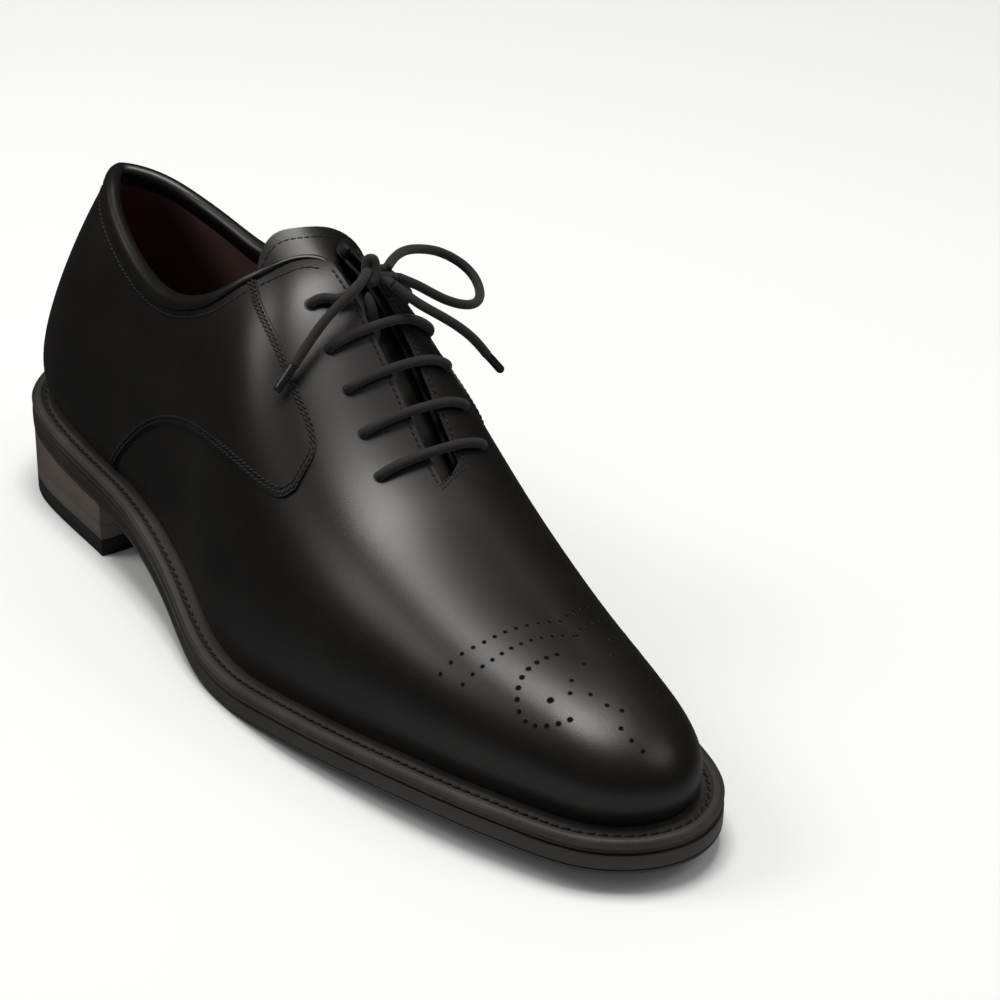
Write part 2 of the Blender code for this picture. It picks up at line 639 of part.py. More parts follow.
def add_tongue(coll, mats):
    for name, off, thick, mat in (("tongue", -7.7, LEATHER, "calf"), ("tongue_lining", -10.6, LINING, "lining")):
        mesh = grid_mesh(name, tongue_points(off))
        solidify(new_object(name, mesh, coll, mats[mat]), thick)


# ---- laces -------------------------------------------------------------------------
KNOT = (139.5, 12.5, 111.0)
LOOP = [(141.5, 16.5, 111.5), (138, 20.5, 111.6), (133, 27.5, 110.8), (128.5, 37.3, 107.5), (127.3, 46, 103.2),
        (131.2, 51.7, 98), (139, 50, 94.6), (146, 41.5, 95.6), (146.5, 32, 100.2), (145, 25, 105.2),
        (144.5, 18.5, 109.3)]
TAIL_OUTER = [(143.8, 7.6, 112.2), (147, 2.5, 110.5), (147.5, -3.5, 107.2), (148, -9.5, 103), (148.8, -15, 98.2),
              (149.4, -19.4, 94)]
TAIL_INNER = [(146.5, 15.6, 108.5), (152, 20, 104), (157, 26, 99.5), (160, 32.5, 93.5), (160, 38, 86.5)]


def lace_route():
    """The laced run: straight bars across, hidden runs underneath."""
    e = eyelet_points().reshape(2, 5, 2)
    over, under = 2.3, -5.85

    def hole(side, row, down):
        s0, u0 = e[side, row]
        stops = [1.0, -1.6, -4.0]
        pts = [layer([s0], [u0], [o])[0] for o in stops]
        return pts if down else pts[::-1]

    def bar(row, from_outer):
        a, b = (skin([s0], [u0])[0] for s0, u0 in e[:, row])
        pts = []
        for t in (.1, .3, .5, .7, .9):
            s0, u0 = over_plan(*(a + (b - a) * t)[:2])
            pts.append(layer([s0], [u0], [over + 3.2 * t * (1 - t)])[0])
        return pts if from_outer else pts[::-1]

    def below(side0, row0, side1, row1, sway=0.0):
        p, q = e[side0, row0].copy(), e[side1, row1].copy()
        if side0 == side1:
            mid = [p + (q - p) * t for t in (.15, .5, .85)]
            return [layer([m[0]], [m[1] + sway * (1 if i == 1 else .6)], [under])[0] for i, m in enumerate(mid)]
        out = []
        for t in (.12, .3, .5):
            out.append(layer([p[0] - .02 * t], [p[1] + (1 - p[1]) * 2 * t], [under])[0])
        return out

    pts = [np.array((140.6, 7.6, 108.4)), layer([.50], [.925], [over + .6])[0], layer([.489], [.895], [over])[0]]
    pts += hole(0, 0, True) + below(0, 0, 0, 1) + hole(0, 1, False) + bar(1, True)
    pts += hole(1, 1, True) + below(1, 1, 1, 3, .055) + hole(1, 3, False) + bar(3, False)
    pts += hole(0, 3, True) + below(0, 3, 0, 4) + hole(0, 4, False) + bar(4, True)
    pts += hole(1, 4, True) + below(1, 4, 1, 2) + hole(1, 2, False) + bar(2, False)
    pts += hole(0, 2, True)
    s_a, s_b = e[0, 2], e[1, 0]
    for t in (.25, .6):
        pts.append(layer([s_a[0] - .018 * t], [s_a[1] + (1 - s_a[1]) * t], [under])[0])
    pts.append(layer([s_a[0] - .03], [1.0], [under])[0])
    for t in (.6, .25):
        pts.append(layer([s_b[0] - .018 * t], [s_b[1] + (1 - s_b[1]) * t], [under])[0])
    pts += hole(1, 0, False)
    pts += [layer([2 - .489], [.895], [over])[0], np.array((141.0, 17.4, 107.6))]
    return pts


def add_laces(coll, mats):
    tube("lace_run", lace_route(), CORD, coll, mats["lace"], 120)
    bm = bmesh.new()
    bmesh.ops.create_uvsphere(bm, u_segments=12, v_segments=8, radius=1.0)
    bmesh.ops.scale(bm, vec=(4.2 * MM, 3.0 * MM, 4.4 * MM), verts=bm.verts)
    mesh = bpy.data.meshes.new("lace_knot")
    bm.to_mesh(mesh)
    bm.free()
    knot = new_object("lace_knot", mesh, coll, mats["lace"])
    knot.location = to_world(KNOT)
    tube("lace_loop", LOOP, CORD, coll, mats["lace"], 28)
    tube("lace_tail_outer", TAIL_OUTER, CORD, coll, mats["lace"], 14)
    tube("lace_tail_inner", TAIL_INNER, CORD, coll, mats["lace"], 12)
    for name, line in (("aglet_outer", TAIL_OUTER), ("aglet_inner", TAIL_INNER)):
        a, b = np.array(line[-2], float), np.array(line[-1], float)
        d = (b - a) / np.linalg.norm(b - a)
        tube(name, [b + d * (GAP + .1), b + d * 4, b + d * 8.5], CORD - .4, coll, mats["aglet"], 4)


def build():
    """Builds every piece of the shoe."""
    for obj in list(bpy.data.objects):
        bpy.data.objects.remove(obj, do_unlink=True)
    scene = bpy.context.scene.collection
    coll = bpy.data.collections.new("oxford_shoe")
    cut = bpy.data.collections.new("cutters")
    scene.children.link(coll)
    scene.children.link(cut)
    mats = {
        "calf": material("calf", (.012, .011, .011), .38), "lining": material("lining", (.055, .015, .014), .6),
        "welt": material("welt", (.01, .01, .01), .6), "sole": material("sole", (.014, .013, .013), .5),
        "heel": material("heel", (.014, .013, .013), .45),
        "heel_rubber": material("heel_rubber", (.012, .012, .012), .65),
        "insole": material("insole", (.35, .22, .13), .7), "sock": material("sock", (.05, .016, .014), .55),
        "cork": material("cork", (.4, .26, .14), .9), "steel": material("steel", (.55, .56, .58), .35, 1.0),
        "stiffener": material("stiffener", (.3, .2, .13), .8), "brass": material("brass", (.6, .45, .2), .35, 1.0),
        "lace": material("lace", (.012, .012, .012), .85), "aglet": material("aglet", (.01, .01, .01), .35),
    }
    add_bottom(coll, mats)
    add_upper(coll, cut, mats)
    add_laces(coll, mats)
    for obj in coll.objects:
        if obj.type == "MESH":
            obj.data.shade_smooth()
            obj.data.set_sharp_from_angle(angle=math.radians(40))


build()
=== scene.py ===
"""Plain-toe leather oxford shoe, right foot: the visual model, its finishes and its studio.

Frame: +X towards the toe, +Y towards the inner side of the foot, +Z up, metres,
origin on the ground under the middle of the sole.  The pattern work is done in
millimetres on the shoe's own layout (x = 0 at the back of the heel seat) and is
brought into the frame by ``Layout``.
"""

import json
import logging
import math
from dataclasses import dataclass, field
from enum import Enum
from typing import Callable, Iterable, Sequence

import bmesh
import bpy
import numpy as np
from mathutils import Matrix, Vector

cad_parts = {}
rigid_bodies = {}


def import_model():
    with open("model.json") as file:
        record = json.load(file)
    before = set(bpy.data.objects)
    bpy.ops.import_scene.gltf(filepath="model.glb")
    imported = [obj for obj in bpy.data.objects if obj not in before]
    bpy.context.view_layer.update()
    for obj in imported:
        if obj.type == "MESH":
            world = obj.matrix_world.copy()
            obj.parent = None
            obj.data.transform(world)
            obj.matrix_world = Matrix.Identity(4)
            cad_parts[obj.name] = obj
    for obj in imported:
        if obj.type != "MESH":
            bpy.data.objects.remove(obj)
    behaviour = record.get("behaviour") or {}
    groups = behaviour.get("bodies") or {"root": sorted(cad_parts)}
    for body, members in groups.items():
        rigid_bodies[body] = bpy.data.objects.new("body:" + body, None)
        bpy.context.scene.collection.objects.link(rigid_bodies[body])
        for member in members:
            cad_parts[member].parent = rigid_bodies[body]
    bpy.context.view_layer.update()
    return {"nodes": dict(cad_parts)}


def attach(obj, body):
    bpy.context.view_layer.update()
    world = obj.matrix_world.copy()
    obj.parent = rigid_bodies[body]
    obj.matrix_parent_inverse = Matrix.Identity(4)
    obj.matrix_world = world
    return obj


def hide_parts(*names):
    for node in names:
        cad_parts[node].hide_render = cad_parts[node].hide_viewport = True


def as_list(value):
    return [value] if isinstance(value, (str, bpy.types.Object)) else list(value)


LOG = logging.getLogger("oxford")
MM = 0.001
WAY_MM = 330.0
"""About how many millimetres one unit of way round a side of the last is."""
Array = np.ndarray
Route = Sequence[Sequence[float]]
Colour = tuple[float, float, float]


class Side(Enum):
    """The two sides of the shoe."""

    OUTER = "outer"
    INNER = "inner"

    def place(self, line: "Array") -> "Array":
        """Pattern points of the outer side brought to this side."""
        return line if self is Side.OUTER else np.c_[2 - line[:, 0], line[:, 1]]


class Body(Enum):
    """The moving bodies of the shoe."""

    SHOE = "shoe"
    TONGUE = "tongue"


# ---- curves and surfaces -----------------------------------------------------------
def smooth(t: Array) -> Array:
    """Soft step of values from 0 to 1."""
    return t * t * (3 - 2 * t)


def unit(vectors: Array, least: float = 0.0) -> Array:
    """Rows brought to length 1; least keeps a row of zeros finite."""
    return vectors / (np.linalg.norm(vectors, axis=1)[:, None] + least)


def path_run(points: Array) -> Array:
    """Distance along a path at each of its points."""
    return np.r_[0, np.cumsum(np.linalg.norm(np.diff(points, axis=0), axis=1))]


def along_path(places: Array, run: Array, points: Array) -> Array:
    """Points at given distances along a path."""
    return np.stack([np.interp(places, run, points[:, i]) for i in range(points.shape[1])], axis=1)


class Spline:
    """Smooth natural or closed cubic through values at knots."""

    def __init__(self, knots: Sequence[float], values: Route, closed: bool = False) -> None:
        """Fits the curve.

        Args:
            knots: increasing positions.
            values: one row of numbers per knot.
            closed: True where the last value repeats the first.
        """
        self.k = np.asarray(knots, float)
        v = np.asarray(values, float)
        self.v = v[:, None] if v.ndim == 1 else v
        self.closed = closed
        n, h = len(self.k), np.diff(self.k)
        m = n - 1 if closed else n
        a, r = np.zeros((m, m)), np.zeros((m, self.v.shape[1]))
        for i in range(m):
            if not closed and i in (0, n - 1):
                a[i, i] = 1
                continue
            before, after = h[i - 1], h[i]
            a[i, i - 1] += before
            a[i, i] += 2 * (before + after)
            a[i, (i + 1) % m] += after
            last = self.v[m - 1] if closed and i == 0 else self.v[i - 1]
            r[i] = 6 * ((self.v[i + 1] - self.v[i]) / after - (self.v[i] - last) / before)
        bend = np.linalg.solve(a, r)
        self.bend = np.vstack([bend, bend[:1]]) if closed else bend

    def __call__(self, x: Array | float) -> Array:
        """Values at x, one row each.

        Args:
            x: positions; a closed curve takes any.

        Returns:
            One row of values per position.
        """
        k, v, bend = self.k, self.v, self.bend
        x = np.atleast_1d(np.asarray(x, float))
        if self.closed:
            x = k[0] + np.mod(x - k[0], k[-1] - k[0])
        i = np.clip(np.searchsorted(k, x, side="right") - 1, 0, len(k) - 2)
        width = (k[i + 1] - k[i])[:, None]
        p, q = (k[i + 1] - x)[:, None] / width, (x - k[i])[:, None] / width
        cubic = (p**3 - p) * bend[i] + (q**3 - q) * bend[i + 1]
        return p * v[i] + q * v[i + 1] + cubic * width**2 / 6


def resample(points: Route, step: float) -> Array:
    """Even points along a smooth curve through route points.

    Args:
        points: route points.
        step: spacing wanted, in the route's unit.

    Returns:
        One row per point.
    """
    p = np.array(points, float)
    run = path_run(p)
    dense = Spline(run, p)(np.linspace(0, run[-1], 40 * len(p)))
    run = path_run(dense)
    return along_path(np.linspace(0, run[-1], max(3, int(round(run[-1] / step)) + 1)), run, dense)


@dataclass
class Last:
    """The surface the upper is pulled over, with the pattern lines drawn on it (mm)."""

    outer_side: Route = ((0, 0), (3.5, -13), (14, -26.2), (32, -30.6), (60, -31.6), (90, -33.6), (118, -37.8),
                         (145, -43.6), (168, -44.4), (195, -41.9), (222, -36.7), (248, -29.9), (270, -21.7),
                         (285, -13.2))
    toe_tip: tuple[float, float] = (293.2, 7.8)
    inner_side: Route = ((285, 19.8), (270, 25.6), (248, 29.6), (222, 34), (195, 37.8), (168, 39.2), (145, 37.6),
                         (118, 34.6), (90, 32), (60, 29.4), (32, 28.4), (14, 23.2), (3.5, 11.4))
    seat_line: Route = ((-10, 35.8), (0, 34.6), (30, 30), (60, 27.6), (85, 26), (110, 20), (135, 12.6),
                        (160, 9.7), (180, 11.7), (210, 14.2), (240, 16), (270, 16.2), (300, 15.9))
    spine: Route = ((22, .8, 111), (40, 2.2, 112.3), (70, 5, 114), (95, 8, 114.6), (112, 10.3, 113.6),
                    (130, 12.2, 109.6), (150, 12.3, 95.6), (170, 10.4, 79), (190, 7.7, 66.3), (210, 5.8, 58.5),
                    (230, 4.7, 52.8), (250, 4.4, 48.2), (270, 4.9, 44), (294, 5.8, 39))
    spine_ends: tuple[float, float] = (22.0, 250.0)
    half_way_x: float = 139.0
    outer_wall: Route = ((0, 1.28, .16, .99, .38, .46), (30, 1.23, .16, .97, .44, .54),
                         (60, 1.16, .17, .93, .50, .61), (90, 1.11, .19, .92, .56, .66),
                         (115, 1.08, .22, .93, .64, .68), (140, 1.09, .25, .95, .72, .68),
                         (165, 1.09, .29, .98, .81, .66), (190, 1.10, .32, 1.01, .88, .63),
                         (220, 1.11, .37, 1.04, .95, .60), (250, 1.14, .42, 1.06, 1.01, .57),
                         (289, 1.17, .49, 1.08, 1.06, .54))
    inner_wall: Route = ((0, 1.16, .16, .91, .41, .58), (30, 1.12, .16, .90, .46, .62),
                         (60, 1.09, .17, .88, .51, .66), (90, 1.07, .19, .88, .56, .69),
                         (115, 1.05, .22, .90, .64, .71), (140, 1.04, .25, .93, .71, .73),
                         (165, 1.04, .29, .96, .80, .73), (190, 1.04, .32, .97, .87, .68),
                         (220, 1.03, .37, .94, .94, .58), (250, 1.05, .42, .91, 1.0, .48),
                         (289, 1.13, .49, .91, 1.05, .41))

    def __post_init__(self) -> None:
        """Fits the curves once."""
        pts = np.array([*self.outer_side, self.toe_tip, *self.inner_side, self.outer_side[0]], float)
        run = path_run(pts)
        self._edge = Spline(run, pts, closed=True)
        self._steps = np.linspace(0, run[-1], 2001)
        self._length = path_run(self._edge(self._steps))
        self._toe = float(np.interp(run[len(self.outer_side)], self._steps, self._length))
        self._seat = Spline(*zip(*self.seat_line))
        self._spine = Spline([p[0] for p in self.spine], [p[1:] for p in self.spine])
        self._walls = [Spline([p[0] for p in w], [p[1:] for p in w]) for w in (self.outer_wall, self.inner_wall)]
        a, b = np.linspace(0, 1, 801), np.linspace(2, 1, 801)
        self._twin = (a, self.outline(a)[:, 0], self.outline(b)[:, 0], b)

    def outline(self, s: Array | float) -> Array:
        """Feather edge by way round: 0 heel, 1 toe along the outer side, 2 heel again.

        Args:
            s: way round.

        Returns:
            Plan points, mm.
        """
        s = np.mod(np.atleast_1d(np.asarray(s, float)), 2.0)
        way = np.where(s <= 1, s * self._toe, self._toe + (s - 1) * (self._length[-1] - self._toe))
        return self._edge(np.interp(way, self._length, self._steps))

    def edge(self, width: float, s: Array) -> Array:
        """Feather edge moved width outward in plan.

        Args:
            width: distance outward, mm.
            s: way round.

        Returns:
            Plan points, mm.
        """
        t = self.outline(s + 1e-3) - self.outline(s - 1e-3)
        t /= np.linalg.norm(t, axis=1)[:, None]
        return self.outline(s) + np.c_[t[:, 1], -t[:, 0]] * width

    def seat(self, x: Array) -> Array:
        """Height of the feather edge at x."""
        return self._seat(x)[:, 0]

    def skin(self, s: Array | float, u: Array | float) -> Array:
        """Points of the outer surface at way round s and height u.

        Args:
            s: way round.
            u: height, 0 at the feather edge and 1 at the top.

        Returns:
            Layout points, mm.
        """
        s, u = np.broadcast_arrays(np.mod(np.asarray(s, float), 2.0), np.asarray(u, float))
        s, u = s.ravel(), u.ravel()
        foot = self.outline(s)
        z_foot = self.seat(foot[:, 0])
        lo, hi = self.spine_ends
        x_top = lo + (hi - lo) * np.clip(foot[:, 0] / self.toe_tip[0], 0, 1)
        y_top = self._spine(x_top)[:, 0]
        inner = 0.5 * (1 - np.clip(np.sin(math.pi * s) * 3, -1, 1))
        inner = smooth(inner)[:, None]
        b1, v1, b2, v2, h3 = (self._walls[0](foot[:, 0]) * (1 - inner) + self._walls[1](foot[:, 0]) * inner).T
        w = [(1 - u)**4, 4 * u * (1 - u)**3, 6 * u**2 * (1 - u)**2, 4 * u**3 * (1 - u), u**4]
        out = w[0] + w[1] * b1 + w[2] * b2 + w[3] * h3
        up = w[1] * v1 + w[2] * v2 + w[3] + w[4]
        x = x_top + (foot[:, 0] - x_top) * out
        y = y_top + (foot[:, 1] - y_top) * out
        return np.c_[x, y, z_foot + (self._spine(x)[:, 1] - z_foot) * up]

    def normal(self, s: Array, u: Array) -> Array:
        """Outward unit normals of the outer surface.

        Args:
            s: way round.
            u: height, 0 at the feather edge and 1 at the top.

        Returns:
            One unit row per point.
        """
        s, u = np.broadcast_arrays(np.asarray(s, float), np.asarray(u, float))
        s, u = s.ravel(), u.ravel()
        around = self.skin(s + 2e-3, u) - self.skin(s - 2e-3, u)
        rise = self.skin(s, np.clip(u + 2e-3, 0, 1)) - self.skin(s, np.clip(u - 2e-3, 0, 1))
        n = np.cross(around, rise)
        n /= np.linalg.norm(n, axis=1)[:, None] + 1e-12
        top = u > 0.999
        if top.any():
            x = self.skin(s[top], u[top])[:, 0]
            slope = (self._spine(x + 1)[:, 1] - self._spine(x - 1)[:, 1]) / 2
            n[top] = np.c_[-slope, 0 * slope, 0 * slope + 1] / np.sqrt(1 + slope**2)[:, None]
        return n

    def layer(self, s: Array, u: Array, off: Array | float) -> Array:
        """Surface points moved off millimetres outward."""
        n = self.normal(s, u)
        return self.skin(s, u) + n * np.broadcast_to(np.reshape(off, (-1, 1)), (len(n), 1))

    def twin(self, s: Array) -> Array:
        """Way round on the inner side that has the same x as s on the outer side."""
        a, xa, xb, b = self._twin
        return np.interp(np.interp(s, a, np.maximum.accumulate(xa)), np.maximum.accumulate(xb), b)

    def over(self, x: float, y: float) -> tuple[float, float]:
        """Pattern point whose surface lies over plan point (x, y).

        Args:
            x: plan place along the shoe, mm.
            y: plan place across the shoe, mm.

        Returns:
            Its way round and height.
        """
        s = .5 + (x - self.half_way_x) / WAY_MM
        s, u = (s if y < self._spine(x)[0, 0] else 2 - s), .85
        for _ in range(16):
            p = self.skin([s, s + 1e-4, s], [u, u, u - 1e-4])[:, :2]
            jac = np.array([p[1] - p[0], p[0] - p[2]]).T / 1e-4
            step = np.linalg.solve(jac, (x - p[0, 0], y - p[0, 1]))
            s, u = s + float(np.clip(step[0], -.02, .02)), min(u + float(np.clip(step[1], -.1, .1)), 1.0)
        return s, u

    def spine_y(self, x: float) -> float:
        """Sideways place of the spine at x."""
        return float(self._spine(x)[0, 0])


@dataclass
class Pattern:
    """Pattern lines on the last: (way round 0 heel to 1 toe, height 0 to 1)."""

    topline: dict[Side, Route] = field(default_factory=lambda: {
        Side.OUTER: ((0, .797), (.05, .80), (.089, .791), (.116, .761), (.159, .709), (.217, .648), (.266, .617),
                     (.312, .621), (.341, .645), (.379, .708), (.402, .783), (.42, .85), (.43, .903), (.444, .945),
                     (.462, .966)),
        Side.INNER: ((0, .797), (.03, .785), (.063, .765), (.135, .695), (.199, .641), (.24, .61), (.29, .605),
                     (.335, .635), (.375, .70), (.402, .77), (.42, .835), (.43, .88), (.444, .92), (.462, .945))})
    front: dict[Side, Route] = field(default_factory=lambda: {
        Side.OUTER: ((.433, .775), (.459, .762), (.485, .757), (.507, .752), (.526, .746), (.545, .741),
                     (.562, .73), (.5715, .705), (.574, .66), (.5735, .60)),
        Side.INNER: ((.433, .70), (.459, .672), (.485, .655), (.507, .645), (.526, .64), (.545, .634),
                     (.562, .622), (.5715, .60), (.574, .575), (.5735, .54))})
    lower: dict[Side, Route] = field(default_factory=lambda: {
        Side.OUTER: ((.243, 0), (.274, .151), (.294, .224), (.321, .297), (.356, .356), (.404, .403), (.451, .441),
                     (.49, .477), (.521, .503), (.548, .527), (.565, .556), (.5735, .60)),
        Side.INNER: ((.243, 0), (.274, .151), (.294, .224), (.321, .297), (.356, .356), (.404, .40), (.451, .428),
                     (.49, .45), (.521, .465), (.548, .485), (.565, .505), (.5735, .54))})
    wing: Route = ((.215, 0), (.381, .71))
    gap: dict[Side, float] = field(default_factory=lambda: {Side.OUTER: .966, Side.INNER: .945})
    corner: float = .408
    throat: float = .690
    eyelets: Route = ((.485, .871), (.526, .861), (.562, .857), (.598, .841), (.635, .822))
    facing: float = 13.5
    way_weight: float = 3.3

    def line(self, knots: Route, n: int) -> Array:
        """n even points along a pattern line.

        Args:
            knots: (s, u) points of the line.
            n: number of points.

        Returns:
            One (s, u) row per point.
        """
        p = np.array(knots, float)
        run = path_run(p * (self.way_weight, 1))
        return Spline(run, p)(np.linspace(0, run[-1], n))

    def lace_holes(self, last: Last) -> Array:
        """Pattern points of the lace holes, five outer ones and the five straight across.

        Args:
            last: the surface they lie on.

        Returns:
            One (s, u) row per hole.
        """
        pts = [tuple(p) for p in self.eyelets]
        for s, u in self.eyelets:
            x = float(last.skin(s, u)[0, 0])
            pts.append(last.over(x, last.spine_y(x) + self.facing))
        return np.array(pts)


@dataclass
class Layout:
    """Brings the shoe's own millimetre layout into the shared frame."""

    last: Last
    welt_width: float = 7.4

    def __post_init__(self) -> None:
        """Finds the middle of the sole."""
        edge = self.last.edge(self.welt_width, np.linspace(0, 2, 1601))
        self.shift = np.r_[(edge.max(axis=0) + edge.min(axis=0)) / 2, 0]

    def world(self, p: Array) -> Array:
        """Layout millimetres to frame metres."""
        return (np.asarray(p, float) - self.shift) * MM


# ---- mesh making ---------------------------------------------------------------------
class Maker:
    """Builds meshes from layout points and gives them their finish and their body."""

    weld: float = .01
    sharp_angle: float = 42.0
    edge_angle: float = 55.0

    def __init__(self, last: Last) -> None:
        """Keeps the last and the layout.

        Args:
            last: the surface every piece is built from.
        """
        self.last = last
        self.layout = Layout(last)
        self.collection = bpy.data.collections.new("oxford_look")
        bpy.context.scene.collection.children.link(self.collection)

    def mesh(self, name: str, verts: Array, faces: list[tuple[int, ...]], weld: float = 0.0,
             uv: Array | None = None) -> bpy.types.Object:
        """Object from layout points and faces.

        Args:
            name: object name.
            verts: layout points, mm.
            faces: vertex indices per face.
            weld: distance within which points are made one, mm; 0 keeps them all.
            uv: one (u, v) per vertex, in metres.

        Returns:
            The new smooth-shaded object.
        """
        data = bpy.data.meshes.new(name)
        data.from_pydata(self.layout.world(np.asarray(verts, float).reshape(-1, 3)).tolist(), [], faces)
        if uv is not None:
            layer = data.uv_layers.new(name="UVMap")
            index = np.zeros(len(data.loops), np.int32)
            data.loops.foreach_get("vertex_index", index)
            layer.data.foreach_set("uv", np.asarray(uv, np.float32)[index].ravel())
        if weld > 0:
            bm = bmesh.new()
            bm.from_mesh(data)
            bmesh.ops.remove_doubles(bm, verts=bm.verts, dist=weld * MM)
            bm.to_mesh(data)
            bm.free()
        data.validate()
        data.shade_smooth()
        obj = bpy.data.objects.new(name, data)
        self.collection.objects.link(obj)
        return obj

    def grid(self, name: str, points: Array) -> bpy.types.Object:
        """Quad sheet through points[i][j].

        Args:
            name: object name.
            points: rows of layout points, mm.

        Returns:
            The object.
        """
        rows, cols = points.shape[:2]
        faces = [(i * cols + j, (i + 1) * cols + j, (i + 1) * cols + j + 1, i * cols + j + 1)
                 for i in range(rows - 1) for j in range(cols - 1)]
        return self.mesh(name, points, faces, self.weld)

    def face_out(self, obj: bpy.types.Object) -> None:
        """Turns all faces of a piece outward.

        Args:
            obj: the closed piece.
        """
        bm = bmesh.new()
        bm.from_mesh(obj.data)
        bmesh.ops.recalc_face_normals(bm, faces=bm.faces)
        bm.to_mesh(obj.data)
        bm.free()

    def loft(self, name: str, rings: Array, around: bool = False) -> bpy.types.Object:
        """Closed skin through equal rings.

        Args:
            name: object name.
            rings: rings[i][j] points, each ring closed.
            around: True where the last ring joins the first; otherwise both ends are closed.

        Returns:
            The new object, normals outward.
        """
        rings = np.asarray(rings, float)
        count, n = rings.shape[:2]
        faces: list[tuple[int, ...]] = []
        for i in range(count if around else count - 1):
            k = (i + 1) % count
            faces += [(i * n + j, i * n + (j + 1) % n, k * n + (j + 1) % n, k * n + j) for j in range(n)]
        if not around:
            faces.append(tuple(range(n)))
            faces.append(tuple(reversed(range((count - 1) * n, count * n))))
        obj = self.mesh(name, rings, faces, self.weld / 2)
        self.face_out(obj)
        obj.data.shade_smooth()
        obj.data.set_sharp_from_angle(angle=math.radians(self.sharp_angle))
        return obj

    def thicken(self, obj: bpy.types.Object, thickness: float, bevel: float = 0.0) -> bpy.types.Object:
        """Gives a sheet its thickness inward, with a rounded edge where bevel is set (mm).

        Args:
            obj: the sheet.
            thickness: thickness, mm.
            bevel: radius of the rounded edge, mm.

        Returns:
            The same object.
        """
        mod = obj.modifiers.new("Thickness", "SOLIDIFY")
        mod.thickness, mod.offset, mod.use_even_offset = thickness * MM, -1.0, False
        if bevel > 0:
            edge = obj.modifiers.new("Edge", "BEVEL")
            edge.width, edge.segments, edge.limit_method = bevel * MM, 3, "ANGLE"
            edge.angle_limit = math.radians(self.edge_angle)
            edge.harden_normals = True
        return obj

    def sweep(self, name: str, path: Array, radius: float, sides: int = 16,
              taper: Callable[[float], float] | None = None) -> bpy.types.Object:
        """Round cord along even layout points, with a metre-true UV for its weave.

        Args:
            name: object name.
            path: points along the cord.
            radius: cord radius, mm.
            sides: points round the cord.
            taper: radius factor by share of the length.

        Returns:
            The closed tube.
        """
        t = unit(np.gradient(path, axis=0))
        side = np.cross(t[0], (0.0, 0.2, 1.0))
        side /= np.linalg.norm(side)
        run = path_run(path)
        rings, uv = [], []
        angles = np.linspace(0, 2 * math.pi, sides + 1)
        for i, (p, d) in enumerate(zip(path, t)):
            side = side - d * (side @ d)
            side /= np.linalg.norm(side)
            up = np.cross(d, side)
            r = radius * (taper(run[i] / run[-1]) if taper else 1.0)
            rings.append([p + r * (side * math.cos(a) + up * math.sin(a)) for a in angles])
            uv.append([(a / (2 * math.pi), run[i] * MM) for a in angles])
        pts, uvs = np.array(rings), np.array(uv)
        n = sides + 1
        faces = [(i * n + j, i * n + j + 1, (i + 1) * n + j + 1, (i + 1) * n + j)
                 for i in range(len(path) - 1) for j in range(sides)]
        faces += [tuple(reversed(range(sides))), tuple((len(path) - 1) * n + j for j in range(sides))]
        return self.mesh(name, pts, faces, 0.002, uvs.reshape(-1, 2))

    def beads(self, name: str, centres: Array, along: Array, up: Array, size: tuple[float, float, float],
              sides: int = 8) -> bpy.types.Object:
        """Many small rounded threads in one mesh.

        Args:
            name: object name.
            centres: middle of each thread.
            along: unit direction of each.
            up: unit normal of each.
            size: half length, half width, half height, mm.
            sides: points round each thread.

        Returns:
            One object with every thread.
        """
        prof = ((-1, 0), (-.86, .55), (-.55, .9), (0, 1), (.55, .9), (.86, .55), (1, 0))
        a = np.linspace(0, 2 * math.pi, sides + 1)[:-1]
        thread = np.array([(x, r * math.cos(t), r * math.sin(t)) for x, r in prof for t in a]) * size
        axes = np.stack([along, np.cross(up, along), up], axis=1)
        pts = centres[:, None] + thread @ axes
        one = [(i * sides + j, i * sides + (j + 1) % sides, (i + 1) * sides + (j + 1) % sides, (i + 1) * sides + j)
               for i in range(len(prof) - 1) for j in range(sides)]
        n = len(thread)
        faces = [tuple(k * n + v for v in f) for k in range(len(centres)) for f in one]
        return self.mesh(name, pts, faces)

    def wear(self, obj: bpy.types.Object, finish: "Finish", slot: str, body: Body,
             stands_for: Iterable[str] = ()) -> bpy.types.Object:
        """Dresses a piece and lets it ride on its body.

        Args:
            obj: the piece.
            finish: its finish.
            slot: material slot it belongs to.
            body: body it moves with.
            stands_for: CAD nodes it is shown in place of.

        Returns:
            The piece.
        """
        obj.data.materials.clear()
        obj.data.materials.append(finish.material())
        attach(obj, body.value)
        if stands_for:
            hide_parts(*stands_for)
        LOG.info("%s: %d points, %s", obj.name, len(obj.data.vertices), slot)
        return obj


